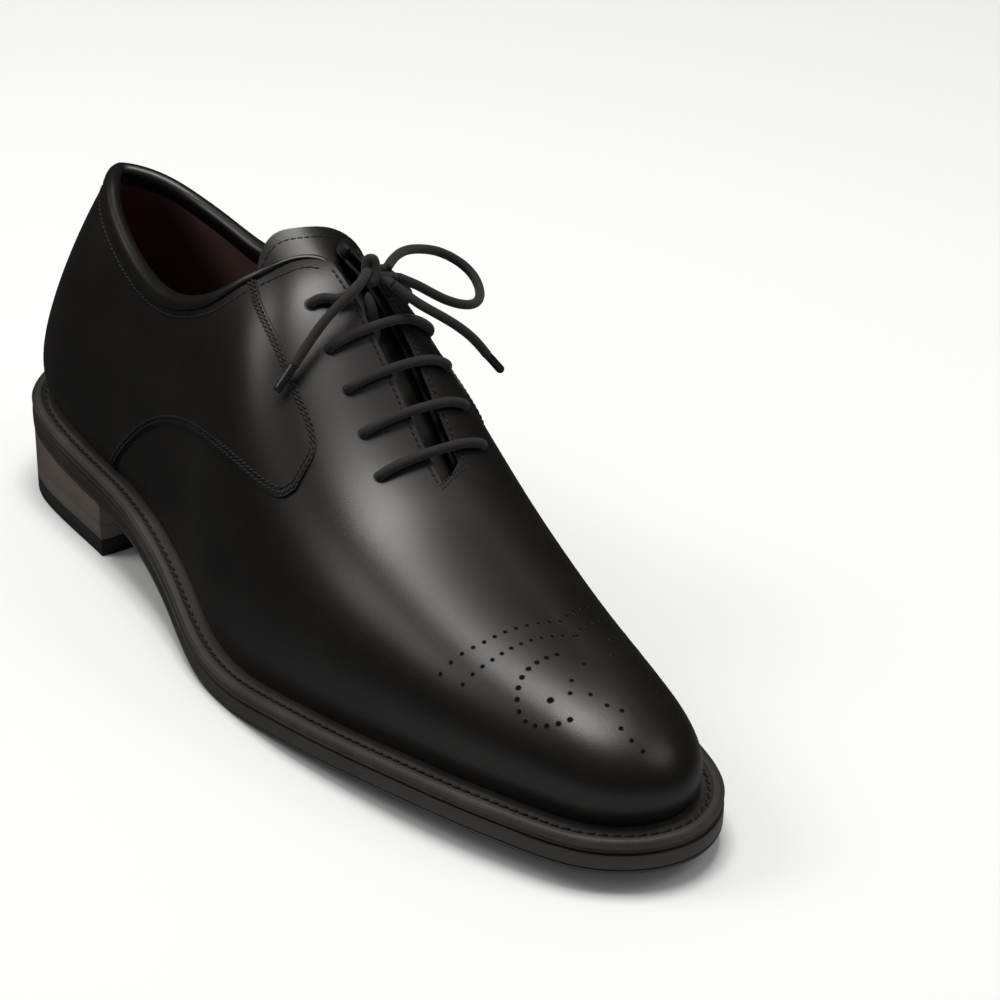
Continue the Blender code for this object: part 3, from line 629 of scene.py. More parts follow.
# ---- shader effects ------------------------------------------------------------------
class Effect:
    """A shader node group made once and shared by the finishes."""

    def __init__(self, name: str, inputs: Sequence[tuple[str, str, float | tuple]],
                 outputs: Sequence[tuple[str, str]]) -> None:
        """Makes the group with its sockets.

        Args:
            name: group name.
            inputs: (name, socket type, default) of each input.
            outputs: (name, socket type) of each output.
        """
        self.tree = bpy.data.node_groups.new(name, "ShaderNodeTree")
        for label, kind, default in inputs:
            socket = self.tree.interface.new_socket(label, in_out="INPUT", socket_type=kind)
            socket.default_value = default
        for label, kind in outputs:
            self.tree.interface.new_socket(label, in_out="OUTPUT", socket_type=kind)
        self.given = self.tree.nodes.new("NodeGroupInput").outputs
        self.result = self.tree.nodes.new("NodeGroupOutput").inputs

    def link(self, source: bpy.types.NodeSocket, target: bpy.types.NodeSocket) -> None:
        """Joins two sockets."""
        self.tree.links.new(source, target)

    def put(self, socket: bpy.types.NodeSocket, value: bpy.types.NodeSocket | float | tuple) -> None:
        """Links a socket, or sets its constant."""
        if isinstance(value, bpy.types.NodeSocket):
            self.link(value, socket)
        else:
            socket.default_value = value

    def math(self, how: str, a: bpy.types.NodeSocket | float, b: bpy.types.NodeSocket | float = 0.0,
             c: bpy.types.NodeSocket | float = 0.0) -> bpy.types.NodeSocket:
        """One math node.

        Args:
            how: operation.
            a: first value or socket.
            b: second value or socket.
            c: third value or socket.

        Returns:
            The result.
        """
        node = self.tree.nodes.new("ShaderNodeMath")
        node.operation = how
        for socket, value in zip(node.inputs, (a, b, c)):
            self.put(socket, value)
        return node.outputs[0]

    def noise(self, place: bpy.types.NodeSocket, scale: bpy.types.NodeSocket | float,
              detail: float) -> bpy.types.NodeSocket:
        """Noise value at a place.

        Args:
            place: coordinate socket.
            scale: how fine it is.
            detail: octaves.

        Returns:
            The value.
        """
        node = self.tree.nodes.new("ShaderNodeTexNoise")
        self.link(place, node.inputs["Vector"])
        self.put(node.inputs["Scale"], scale)
        node.inputs["Detail"].default_value = detail
        return node.outputs[0]

    def ramp(self, value: bpy.types.NodeSocket, low: float, high: float) -> bpy.types.NodeSocket:
        """Smooth 0 to 1 between low and high.

        Args:
            value: socket to read.
            low: value that gives 0.
            high: value that gives 1.

        Returns:
            The result.
        """
        node = self.tree.nodes.new("ShaderNodeMapRange")
        node.interpolation_type = "SMOOTHSTEP"
        self.link(value, node.inputs["Value"])
        node.inputs["From Min"].default_value, node.inputs["From Max"].default_value = low, high
        return node.outputs[0]

    def mix(self, factor: bpy.types.NodeSocket, a: bpy.types.NodeSocket | tuple,
            b: bpy.types.NodeSocket | tuple) -> bpy.types.NodeSocket:
        """Colour mixed from a to b.

        Args:
            factor: 0 gives a and 1 gives b.
            a: first colour.
            b: second colour.

        Returns:
            The colour.
        """
        node = self.tree.nodes.new("ShaderNodeMix")
        node.data_type = "RGBA"
        self.link(factor, node.inputs[0])
        self.put(node.inputs[6], a)
        self.put(node.inputs[7], b)
        return node.outputs[2]


def hide_effect() -> bpy.types.ShaderNodeTree:
    """Grain, soft creasing and uneven polish of a hide: colour, roughness and height in metres.

    Returns:
        The node group.
    """
    made = bpy.data.node_groups.get("hide_surface")
    if made:
        return made
    fx = Effect("hide_surface",
                (("Colour", "NodeSocketColor", (0, 0, 0, 1)), ("Tint", "NodeSocketColor", (0, 0, 0, 1)),
                 ("Roughness", "NodeSocketFloat", .4), ("Spread", "NodeSocketFloat", .1),
                 ("Pores", "NodeSocketFloat", 2200.0), ("Depth", "NodeSocketFloat", 2e-5),
                 ("Swell", "NodeSocketFloat", 1e-4), ("Wear", "NodeSocketFloat", 0.0),
                 ("Worn Colour", "NodeSocketColor", (.1, .1, .1, 1))),
                (("Colour", "NodeSocketColor"), ("Roughness", "NodeSocketFloat"), ("Height", "NodeSocketFloat")))
    place = fx.tree.nodes.new("ShaderNodeTexCoord").outputs["Object"]
    broad, middle = fx.noise(place, 26.0, 2.0), fx.noise(place, 330.0, 5.0)
    pores = fx.tree.nodes.new("ShaderNodeTexVoronoi")
    pores.feature = "SMOOTH_F1"
    fx.link(place, pores.inputs["Vector"])
    fx.link(fx.given["Pores"], pores.inputs["Scale"])
    cracks = fx.tree.nodes.new("ShaderNodeTexVoronoi")
    cracks.feature = "DISTANCE_TO_EDGE"
    fx.link(place, cracks.inputs["Vector"])
    fx.link(fx.math("MULTIPLY", fx.given["Pores"], .55), cracks.inputs["Scale"])
    grain = fx.math("ADD", fx.math("MULTIPLY", fx.ramp(cracks.outputs["Distance"], 0, .18), .6),
                    fx.math("SUBTRACT", .5, fx.math("MULTIPLY", pores.outputs["Distance"], .5)))
    grain = fx.math("MULTIPLY", fx.math("ADD", grain, middle), fx.given["Depth"])
    fx.link(fx.math("ADD", grain, fx.math("MULTIPLY", broad, fx.given["Swell"])), fx.result["Height"])
    polish = fx.math("SUBTRACT", fx.math("ADD", fx.math("MULTIPLY", broad, .7), fx.math("MULTIPLY", middle, .5)), .6)
    worn = fx.tree.nodes.new("ShaderNodeNewGeometry").outputs["Pointiness"]
    worn = fx.math("MULTIPLY", fx.ramp(worn, .51, .60), fx.given["Wear"])
    rough = fx.math("MULTIPLY_ADD", polish, fx.given["Spread"], fx.given["Roughness"])
    fx.link(fx.math("SUBTRACT", rough, fx.math("MULTIPLY", worn, .1)), fx.result["Roughness"])
    colour = fx.mix(fx.ramp(fx.noise(place, 60.0, 4.0), .35, .7), fx.given["Colour"], fx.given["Tint"])
    fx.link(fx.mix(worn, colour, fx.given["Worn Colour"]), fx.result["Colour"])
    return fx.tree


def braid_effect() -> bpy.types.ShaderNodeTree:
    """Diagonal braid of a round cord from its metre-true UV: colour with painted shade in the grooves between
    strands, roughness and height in metres.

    Returns:
        The node group.
    """
    made = bpy.data.node_groups.get("cord_braid")
    if made:
        return made
    fx = Effect("cord_braid",
                (("Colour", "NodeSocketColor", (0, 0, 0, 1)), ("Tint", "NodeSocketColor", (0, 0, 0, 1)),
                 ("Roughness", "NodeSocketFloat", .8), ("Pitch", "NodeSocketFloat", .0013),
                 ("Strands", "NodeSocketFloat", 7.0), ("Depth", "NodeSocketFloat", 9e-5)),
                (("Colour", "NodeSocketColor"), ("Roughness", "NodeSocketFloat"), ("Height", "NodeSocketFloat")))
    coords = fx.tree.nodes.new("ShaderNodeTexCoord")
    split = fx.tree.nodes.new("ShaderNodeSeparateXYZ")
    fx.link(coords.outputs["UV"], split.inputs[0])
    along = fx.math("MULTIPLY", fx.math("DIVIDE", split.outputs[1], fx.given["Pitch"]), 2 * math.pi)
    turn = fx.math("MULTIPLY", fx.math("MULTIPLY", split.outputs[0], fx.given["Strands"]), 2 * math.pi)
    left = fx.math("SINE", fx.math("ADD", along, turn))
    right = fx.math("SINE", fx.math("SUBTRACT", along, turn))
    weave = fx.math("MULTIPLY_ADD", fx.math("MULTIPLY", left, right), .5, .5)
    fuzz = fx.noise(coords.outputs["Object"], 2600.0, 3.0)
    height = fx.math("ADD", fx.math("MULTIPLY", weave, .75), fx.math("MULTIPLY", fuzz, .35))
    fx.link(fx.math("MULTIPLY", height, fx.given["Depth"]), fx.result["Height"])
    # Painted shade: the colour follows the weave's height, darker in the grooves and lighter on the raised strands.
    fx.link(fx.mix(weave, fx.given["Colour"], fx.given["Tint"]), fx.result["Colour"])
    fx.link(fx.math("MULTIPLY_ADD", fuzz, .12, fx.given["Roughness"]), fx.result["Roughness"])
    return fx.tree


# ---- finishes --------------------------------------------------------------------------
@dataclass(frozen=True)
class Finish:
    """How one material looks; subclasses say which effect textures it."""

    name: str
    colour: Colour
    tint: Colour
    roughness: float
    specular: float = .5
    coat: float = 0.0
    coat_roughness: float = .25
    sheen: float = 0.0
    metallic: float = 0.0

    def effect(self) -> tuple[bpy.types.ShaderNodeTree, dict[str, float | tuple]]:
        """The node group and the constants it takes."""
        raise NotImplementedError

    def material(self) -> bpy.types.Material:
        """The material, made once.

        Returns:
            A Principled material fed by the effect's colour, roughness and height.
        """
        found = bpy.data.materials.get(self.name)
        if found:
            return found
        mat = bpy.data.materials.new(self.name)
        mat.use_nodes = True
        nodes, links = mat.node_tree.nodes, mat.node_tree.links
        shader = nodes["Principled BSDF"]
        tree, values = self.effect()
        group = nodes.new("ShaderNodeGroup")
        group.node_tree = tree
        group.inputs["Colour"].default_value = (*self.colour, 1)
        group.inputs["Tint"].default_value = (*self.tint, 1)
        group.inputs["Roughness"].default_value = self.roughness
        for label, value in values.items():
            group.inputs[label].default_value = value
        bump = nodes.new("ShaderNodeBump")
        bump.inputs["Strength"].default_value = 1.0
        bump.inputs["Distance"].default_value = 1.0
        links.new(group.outputs["Colour"], shader.inputs["Base Color"])
        links.new(group.outputs["Roughness"], shader.inputs["Roughness"])
        links.new(group.outputs["Height"], bump.inputs["Height"])
        links.new(bump.outputs["Normal"], shader.inputs["Normal"])
        if self.coat:
            links.new(bump.outputs["Normal"], shader.inputs["Coat Normal"])
        shader.inputs["Metallic"].default_value = self.metallic
        shader.inputs["Specular IOR Level"].default_value = self.specular
        shader.inputs["Coat Weight"].default_value = self.coat
        shader.inputs["Coat Roughness"].default_value = self.coat_roughness
        shader.inputs["Sheen Weight"].default_value = self.sheen
        shader.inputs["Sheen Roughness"].default_value = .5
        return mat


@dataclass(frozen=True)
class Hide(Finish):
    """Leather, rubber, cork or metal: pores, soft swell and worn edges."""

    pores: float = 2200.0
    depth: float = 2e-5
    swell: float = 1e-4
    spread: float = .12
    wear: float = 0.0
    worn_colour: Colour = (.05, .045, .042)

    def effect(self) -> tuple[bpy.types.ShaderNodeTree, dict[str, float | tuple]]:
        """The hide surface with this finish's pores and wear."""
        return hide_effect(), {"Spread": self.spread, "Pores": self.pores, "Depth": self.depth,
                               "Swell": self.swell, "Wear": self.wear, "Worn Colour": (*self.worn_colour, 1)}


@dataclass(frozen=True)
class Braid(Finish):
    """Round braided cord."""

    pitch: float = .0013
    strands: float = 7.0
    depth: float = 9e-5

    def effect(self) -> tuple[bpy.types.ShaderNodeTree, dict[str, float | tuple]]:
        """The braid with this cord's pitch and strands."""
        return braid_effect(), {"Pitch": self.pitch, "Strands": self.strands, "Depth": self.depth}


@dataclass(frozen=True)
class Finishes:
    """Every finish of the shoe, by the slot it belongs to."""

    calf: Hide = Hide("black_calf", (.0058, .0053, .0048), (.0078, .0070, .0064), .37, .46, .12, .30,
                      pores=2600, depth=9e-6, swell=1.2e-4, spread=.10)
    calf_edge: Hide = Hide("black_calf_edge", (.005, .0046, .0043), (.008, .0074, .007), .5, .4,
                           pores=3000, depth=1.5e-5, swell=2e-5)
    stitch: Hide = Hide("black_thread", (.010, .0093, .0088), (.016, .0148, .014), .62, .4,
                        pores=5200, depth=2.4e-5, swell=0.0)
    lining: Hide = Hide("burgundy_lining", (.105, .023, .022), (.066, .0155, .0165), .72, .3, sheen=.12,
                        pores=3000, depth=3e-5, swell=6e-5)
    # Black instead of the burgundy of the other linings: painted shade for the deep lace gap between the facings.
    gap_shade_lining: Hide = Hide("black_facing_lining", (.009, .0085, .0085), (.013, .012, .012), .65, .3,
                               pores=3000, depth=3e-5, swell=5e-5)
    sock: Hide = Hide("burgundy_sock", (.10, .023, .022), (.062, .015, .016), .66, .3, sheen=.08,
                      pores=2600, depth=3e-5, swell=5e-5)
    welt: Hide = Hide("welt_leather", (.030, .0268, .0248), (.042, .0376, .035), .55, .4,
                      pores=2000, depth=3.2e-5, swell=5e-5, spread=.2)
    sole_edge: Hide = Hide("waxed_sole_edge", (.021, .018, .016), (.028, .0243, .0216), .38, .5, .15, .3,
                           pores=1500, depth=1.4e-5, swell=8e-5, spread=.16, wear=.35)
    tread: Hide = Hide("scuffed_tread", (.019, .0175, .017), (.035, .032, .030), .66, .35,
                       pores=900, depth=4.5e-5, swell=1.2e-4, spread=.25)
    heel: Hide = Hide("stacked_heel", (.092, .077, .067), (.108, .091, .079), .42, .45, .12, .3,
                      pores=1500, depth=1.6e-5, swell=8e-5, spread=.16, wear=.3)
    rubber: Hide = Hide("heel_rubber", (.026, .022, .019), (.032, .027, .024), .55, .4,
                        pores=2800, depth=1.6e-5, swell=3e-5, wear=.4)
    insole: Hide = Hide("tan_insole", (.33, .20, .115), (.26, .15, .085), .75, .4,
                        pores=1600, depth=3e-5, swell=6e-5)
    cork: Hide = Hide("cork_paste", (.40, .25, .13), (.18, .10, .05), .92, .2, pores=700, depth=1.6e-4, swell=0.0)
    steel: Hide = Hide("spring_steel", (.52, .53, .55), (.40, .41, .43), .32, metallic=1.0,
                       pores=900, depth=4e-6, swell=0.0)
    board: Hide = Hide("stiffener_leather", (.30, .20, .13), (.22, .14, .09), .85, .3, pores=1400, depth=4e-5,
                       swell=0.0)
    brass: Hide = Hide("rolled_brass", (.58, .42, .17), (.44, .30, .11), .36, metallic=1.0,
                       pores=1800, depth=3e-6, swell=0.0)
    # Near-black painted shade that stands in for the inside of a punched hole.
    hole: Hide = Hide("painted_hole_shade", (.0025, .0023, .0022), (.004, .0036, .0034), .9, .1,
                      pores=3000, depth=1e-5, swell=0.0)
    # The darker colour sits in the braid's grooves as painted shade; the tint colours the raised strands.
    lace: Braid = Braid("braided_lace", (.010, .0092, .0088), (.023, .0214, .0205), .72, .3, sheen=.10,
                        depth=5e-5)
    aglet: Hide = Hide("aglet_film", (.010, .010, .010), (.013, .013, .013), .30, .5, pores=1500, depth=5e-6,
                       swell=2e-5)


# ---- the studio -------------------------------------------------------------------------
@dataclass(frozen=True)
class Softbox:
    """A soft light: the way to it from the shoe, its size in metres and its watts."""

    name: str
    way: Colour
    size: tuple[float, float]
    power: float


@dataclass
class Studio:
    """Pale plain floor, soft lights and the camera."""

    camera_at: tuple[float, float, float] = (.67166, -.41519, .47420)
    back: tuple[float, float, float] = (.7199, -.5041, .4772)
    up: tuple[float, float, float] = (-.3909, .2737, .8788)
    roll: float = .6
    lens: float = 112.7
    floor_size: float = 9.0
    floor_colour: Colour = (.89, .915, .915)
    # Painted reflection on the floor for glossy rays only: its middle, reach and grey levels.
    glow_at: tuple[float, float, float] = (.26, -.10, 0)
    glow_reach: tuple[float, float] = (.10, .34)
    glow_level: tuple[float, float] = (.34, .03)
    light_from: float = 1.5
    light_height: float = .05
    light_colour: Colour = (1, .96, .94)
    softboxes: tuple[Softbox, ...] = (Softbox("top_softbox", (-.04, .03, 1), (.72, .6), 16.5),
                                      Softbox("left_softbox", (-.46, -.54, .70), (.6, .6), 5.2),
                                      Softbox("far_softbox", (.5, .5, .7), (.5, .5), 1.8))
    world_strength: float = .30
    world_lit: Colour = (1.0, .995, .985)
    world_mirrored: Colour = (.08, .077, .074)
    world_seen: Colour = (3.1, 3.08, 3.02)

    def camera(self) -> None:
        """Places the camera."""
        data = bpy.data.cameras.new("camera")
        data.lens, data.sensor_width, data.clip_start, data.clip_end = self.lens, 36.0, .02, 30.0
        cam = bpy.data.objects.new("camera", data)
        back = Vector(self.back).normalized()
        right = Vector(self.up).cross(back).normalized()
        up = back.cross(right)
        turn = math.radians(self.roll)
        right, up = right * math.cos(turn) + up * math.sin(turn), up * math.cos(turn) - right * math.sin(turn)
        cam.matrix_world = Matrix((right, up, back)).transposed().to_4x4()
        cam.location = self.camera_at
        bpy.context.scene.collection.objects.link(cam)
        bpy.context.scene.camera = cam

    def switch(self, tree: bpy.types.NodeTree, ray: bpy.types.NodeSocket) -> bpy.types.Node:
        """Colour mix that turns from input 6 to input 7 for one kind of ray.

        Args:
            tree: the tree it is made in.
            ray: the socket that names the kind of ray.

        Returns:
            The mix node.
        """
        mix = tree.nodes.new("ShaderNodeMix")
        mix.data_type = "RGBA"
        tree.links.new(ray, mix.inputs[0])
        return mix

    def glow(self, tree: bpy.types.NodeTree) -> bpy.types.NodeSocket:
        """Painted reflection: the grey that glossy rays see on the floor, brighter in front of the toe and dim
        farther off.

        Args:
            tree: the floor's tree.

        Returns:
            The grey.
        """
        place, far = tree.nodes.new("ShaderNodeTexCoord"), tree.nodes.new("ShaderNodeVectorMath")
        far.operation = "DISTANCE"
        far.inputs[1].default_value = self.glow_at
        tree.links.new(place.outputs["Object"], far.inputs[0])
        fade = tree.nodes.new("ShaderNodeMapRange")
        fade.interpolation_type = "SMOOTHSTEP"
        fade.inputs["From Min"].default_value, fade.inputs["From Max"].default_value = self.glow_reach
        fade.inputs["To Min"].default_value, fade.inputs["To Max"].default_value = self.glow_level
        tree.links.new(far.outputs["Value"], fade.inputs["Value"])
        grey = tree.nodes.new("ShaderNodeCombineColor")
        for channel in ("Red", "Green", "Blue"):
            tree.links.new(fade.outputs["Result"], grey.inputs[channel])
        return grey.outputs["Color"]

    def floor(self) -> None:
        """Large pale floor that looks dimmer in reflections, so dark leather stays dark."""
        bpy.ops.mesh.primitive_plane_add(size=self.floor_size, location=(0, 0, -.00012))
        plane = bpy.context.object
        plane.name = "studio_floor"
        mat = bpy.data.materials.new("studio_floor")
        mat.use_nodes = True
        tree = mat.node_tree
        shader = tree.nodes["Principled BSDF"]
        shader.inputs["Roughness"].default_value = .9
        shader.inputs["Specular IOR Level"].default_value = .1
        # Glossy rays see the painted reflection grey instead of the floor colour.
        mix = self.switch(tree, tree.nodes.new("ShaderNodeLightPath").outputs["Is Glossy Ray"])
        mix.inputs[6].default_value = (*self.floor_colour, 1)
        tree.links.new(self.glow(tree), mix.inputs[7])
        tree.links.new(mix.outputs[2], shader.inputs["Base Color"])
        plane.data.materials.append(mat)

    def light(self, box: Softbox) -> None:
        """One softbox aimed at the shoe.

        Args:
            box: what the light is like.
        """
        data = bpy.data.lights.new(box.name, "AREA")
        data.shape, data.size, data.size_y = "RECTANGLE", *box.size
        data.energy, data.color = box.power, self.light_colour
        lamp = bpy.data.objects.new(box.name, data)
        way = Vector(box.way).normalized()
        lamp.location = Vector((0, 0, self.light_height)) + way * self.light_from
        lamp.rotation_mode = "QUATERNION"
        lamp.rotation_quaternion = way.to_track_quat("Z", "Y")
        bpy.context.scene.collection.objects.link(lamp)

    def world(self) -> None:
        """White surroundings: soft for lighting, dim in reflections, bright behind the floor."""
        world = bpy.data.worlds.new("studio")
        bpy.context.scene.world = world
        world.use_nodes = True
        tree = world.node_tree
        shade, path = tree.nodes["Background"], tree.nodes.new("ShaderNodeLightPath")
        mix = self.switch(tree, path.outputs["Is Glossy Ray"])
        mix.inputs[6].default_value = (*self.world_lit, 1)
        mix.inputs[7].default_value = (*self.world_mirrored, 1)
        seen = self.switch(tree, path.outputs["Is Camera Ray"])
        tree.links.new(mix.outputs[2], seen.inputs[6])
        seen.inputs[7].default_value = (*self.world_seen, 1)
        tree.links.new(seen.outputs[2], shade.inputs["Color"])
        shade.inputs["Strength"].default_value = self.world_strength

    def build(self) -> None:
        """Sets up everything round the shoe."""
        bpy.context.scene.view_settings.view_transform = "Standard"
        self.camera()
        self.floor()
        for box in self.softboxes:
            self.light(box)
        self.world()


# ---- bottom ---------------------------------------------------------------------------
@dataclass
class Bottom:
    """Welt, outsole, stacked heel and the parts between them."""

    make: Maker
    look: Finishes
    welt_width: float = 7.4
    welt_thick: float = 3.3
    sole_thick: float = 6.0
    gap: float = .3
    heel_front: float = 66.0
    top_piece: float = 5.5
    lift: float = 4.5
    stitch_pitch: float = 2.9
    stitch_line: float = 3.3
    stitched_length: float = 640.0
    stitch_slant: float = .22
    stitch_size: tuple[float, float, float] = (1.34, .42, .42)
    sock_end: float = 94.0
    steps: int = 560

    def under_welt(self, x: Array) -> Array:
        """Height of the welt's underside."""
        return self.make.last.seat(x) - self.gap - self.welt_thick

    def tread(self, x: Array) -> Array:
        """Height of the outsole's underside."""
        return np.maximum(self.under_welt(x) - self.gap - self.sole_thick, 0.0)

    def ring_loft(self, name: str, profile: Callable[[Array], Array]) -> bpy.types.Object:
        """Skin of one closed profile carried round the whole sole.

        Args:
            name: object name.
            profile: rows of (outward mm, height mm) for the x of one station.

        Returns:
            The new object.
        """
        s = np.linspace(0, 2, self.steps + 1)[:-1]
        foot = self.make.last.outline(s)
        outward = self.make.last.edge(1.0, s) - foot
        shape = np.array([profile(x) for x in foot[:, 0]])
        plan = foot[:, None] + outward[:, None] * shape[:, :, :1]
        return self.make.loft(name, np.concatenate([plan, shape[:, :, 1:]], axis=2), around=True)

    def welt(self) -> None:
        """Welt with a rounded outer bead and a sunk stitch channel."""
        last, w = self.make.last, self.welt_width

        def profile(x: float) -> Array:
            """Section of the welt at x.

            Args:
                x: place along the shoe, mm.

            Returns:
                Width outward and height of each corner, mm.
            """
            top, low = float(last.seat(x)[0]) - self.gap, float(self.under_welt(x)[0])
            return np.array([
                (-4.0, top), (-1.2, top), (.4, top + .15), (2.1, top + .05), (2.55, top - .55), (3.3, top - .75),
                (4.05, top - .55), (4.5, top + .0), (5.3, top + .1), (6.2, top - .02), (6.55, top - .35),
                (6.9, top - .12), (w - .25, top - .35), (w, top - .85), (w - .05, top - 1.5), (w - .45, top - 2.0),
                (w - .5, top - 2.5), (w - .15, low + .35), (w - .4, low), (-4.0, low)])

        welt = self.ring_loft("welt_strip", profile)
        self.make.wear(welt, self.look.welt, "welt", Body.SHOE, ["welt"])
        s = np.linspace(0, 2, int(self.stitched_length / self.stitch_pitch) + 1)[:-1]
        plan = last.edge(self.stitch_line, s)
        z = last.seat(last.outline(s)[:, 0]) - self.gap - .42
        centres = np.c_[plan, z]
        way = unit(np.roll(centres, -1, axis=0) - np.roll(centres, 1, axis=0))
        way = unit(way + np.c_[-way[:, 1], way[:, 0], 0 * z] * self.stitch_slant)
        up = np.cross(way, np.cross((0, 0, 1.0), way))
        thread = self.make.beads("welt_stitches", centres, way, up, self.stitch_size)
        self.make.wear(thread, self.look.stitch, "welt", Body.SHOE)

    def outsole(self) -> None:
        """Outsole: waxed edge with its grooves, and the tread."""
        w = self.welt_width

        def profile(x: float) -> Array:
            """Section of the outsole's edge at x.

            Args:
                x: place along the shoe, mm.

            Returns:
                Width outward and height of each corner, mm.
            """
            top, low = float(self.under_welt(x)[0]) - 2 * self.gap, float(self.tread(x)[0])
            h = top - low
            return np.array([
                (-2.0, top), (w - .5, top), (w - .12, top - .2), (w, top - .55), (w, top - .42 * h),
                (w, low + .42 * h), (w - .05, low + 1.55), (w - .42, low + 1.35), (w - .42, low + 1.12),
                (w - .08, low + .95), (w - .1, low + .5), (w - .35, low + .12), (w - .8, low),
                (w - 5, low + .01), (w - 5, low + .6)])

        self.make.wear(self.ring_loft("outsole_edge", profile), self.look.sole_edge, "sole", Body.SHOE, ["outsole"])
        rings = self.plate_rings(self.welt_width - 1.6, lambda x: self.under_welt(x) - 2 * self.gap - .3,
                                 lambda x: self.tread(x) + .02, 150, 30)
        self.make.wear(self.make.loft("outsole_tread", rings), self.look.tread, "sole", Body.SHOE)

    def plate_rings(self, width: float, top: Callable[[Array], Array], low: Callable[[Array], Array], n: int,
                    across: int) -> Array:
        """Rings across the shoe of a flat-lying piece cut to the outline.

        Args:
            width: outline offset, mm.
            top: height of its top along x.
            low: height of its underside along x.
            n: rings along the shoe.
            across: steps across.

        Returns:
            rings[i][j] points.
        """
        dense = self.make.last.edge(width, np.linspace(0, 2, 3201)[:-1])
        first = int(dense[:, 0].argmin())
        loop = np.roll(dense, -first, axis=0)
        tip = int(loop[:, 0].argmax())
        outer, inner = loop[:tip + 1], np.vstack([loop[tip:], loop[:1]])[::-1]
        f = (1 - np.cos(math.pi * np.linspace(0, 1, n))) / 2
        x = outer[0, 0] + .02 + (outer[-1, 0] - outer[0, 0] - .04) * f
        a, b = np.interp(x, outer[:, 0], outer[:, 1]), np.interp(x, inner[:, 0], inner[:, 1])
        t = np.linspace(0, 1, across + 1)
        rings = []
        for i in range(n):
            y = a[i] + (b[i] - a[i]) * t
            hi, lo = float(top(np.array([x[i]]))[0]), float(low(np.array([x[i]]))[0])
            rings.append([(x[i], v, hi) for v in y] + [(x[i], v, lo) for v in y[::-1]])
        return np.array(rings)

    def heel_outline(self, width: float, n: int = 120, breast: int = 24) -> Array:
        """Plan loop of the heel, with a slightly hollow breast.

        Args:
            width: outline offset, mm.
            n: points round the seat.
            breast: points across the breast.

        Returns:
            Closed loop of plan points, starting at the inner breast corner.
        """
        s = np.linspace(-.40, .40, 900)
        pts = self.make.last.edge(width, s)
        pts = pts[pts[:, 0] < self.heel_front - .8]
        run = path_run(pts)
        side = along_path(np.linspace(0, run[-1], n), run, pts)
        y = np.linspace(side[-1, 1], side[0, 1], breast)
        mid, half = (y[0] + y[-1]) / 2, abs(y[0] - y[-1]) / 2
        k = (y - mid) / half
        hollow = self.heel_front - 2.0 * (1 - k**2) - .8 * np.abs(k)**12
        return np.vstack([side, np.c_[hollow, y][1:-1]])

    def heel(self) -> None:
        """Two stacked lifts and the rubber top piece, each with softly broken edges."""
        width = self.welt_width - .3
        upper_low = self.top_piece + self.gap + self.lift + .12
        parts = (("heel_stack_upper", "heel_lift_upper", self.look.heel, "heel", None, upper_low),
                 ("heel_stack_lower", "heel_lift_lower", self.look.heel, "heel",
                  upper_low - .1, self.top_piece + .16),
                 ("heel_tip", "heel_top_piece", self.look.rubber, "heel_rubber", self.top_piece, 0.0))
        for name, node, finish, slot, top, low in parts:
            steps = [(-1.2, 0.0), (-.12, .0), (0, .25), (0, .5), (0, .75), (-.12, 1.0), (-1.2, 1.0)]
            soft = .28 if slot == "heel_rubber" else .16
            rings = []
            for k, (inset, share) in enumerate(steps):
                plan = self.heel_outline(width + inset * (2.2 * soft if inset > -1 else 1))
                high = self.tread(plan[:, 0]) - .05 if top is None else np.full(len(plan), top)
                z = low + (high - low) * share
                if k == 2:
                    z = np.full(len(plan), low + soft)
                if k == 4:
                    z = high - soft
                rings.append(np.c_[plan, z])
            obj = self.make.loft(name, np.array(rings))
            self.make.wear(obj, finish, slot, Body.SHOE, [node])

    def hidden(self, nodes: dict[str, bpy.types.Object]) -> None:
        """Dresses the bottom pieces that the shoe closes over.

        Args:
            nodes: CAD nodes by name.
        """
        for name, finish in (("insole", self.look.insole), ("cork_filler", self.look.cork),
                             ("shank", self.look.steel)):
            dress(nodes[name], finish)

    def sock(self) -> None:
        """Heel sock pad with softened edges, wide as the insole."""
        seat = self.make.last.seat
        rings = self.plate_rings(-5.0, lambda x: seat(x) + 2.6, lambda x: seat(x) + 1.45, 120, 20)
        rings = rings[rings[:, 0, 0] < self.sock_end]
        self.make.wear(self.make.loft("heel_sock", rings), self.look.sock, "sock", Body.SHOE, ["sock_pad"])

    def build(self, nodes: dict[str, bpy.types.Object]) -> None:
        """Builds the whole bottom."""
        self.welt()
        self.outsole()
        self.heel()
        self.sock()
        self.hidden(nodes)


def dress(node: bpy.types.Object, finish: Finish) -> None:
    """Gives a shown CAD node its finish."""
    node.data.materials.clear()
    node.data.materials.append(finish.material())


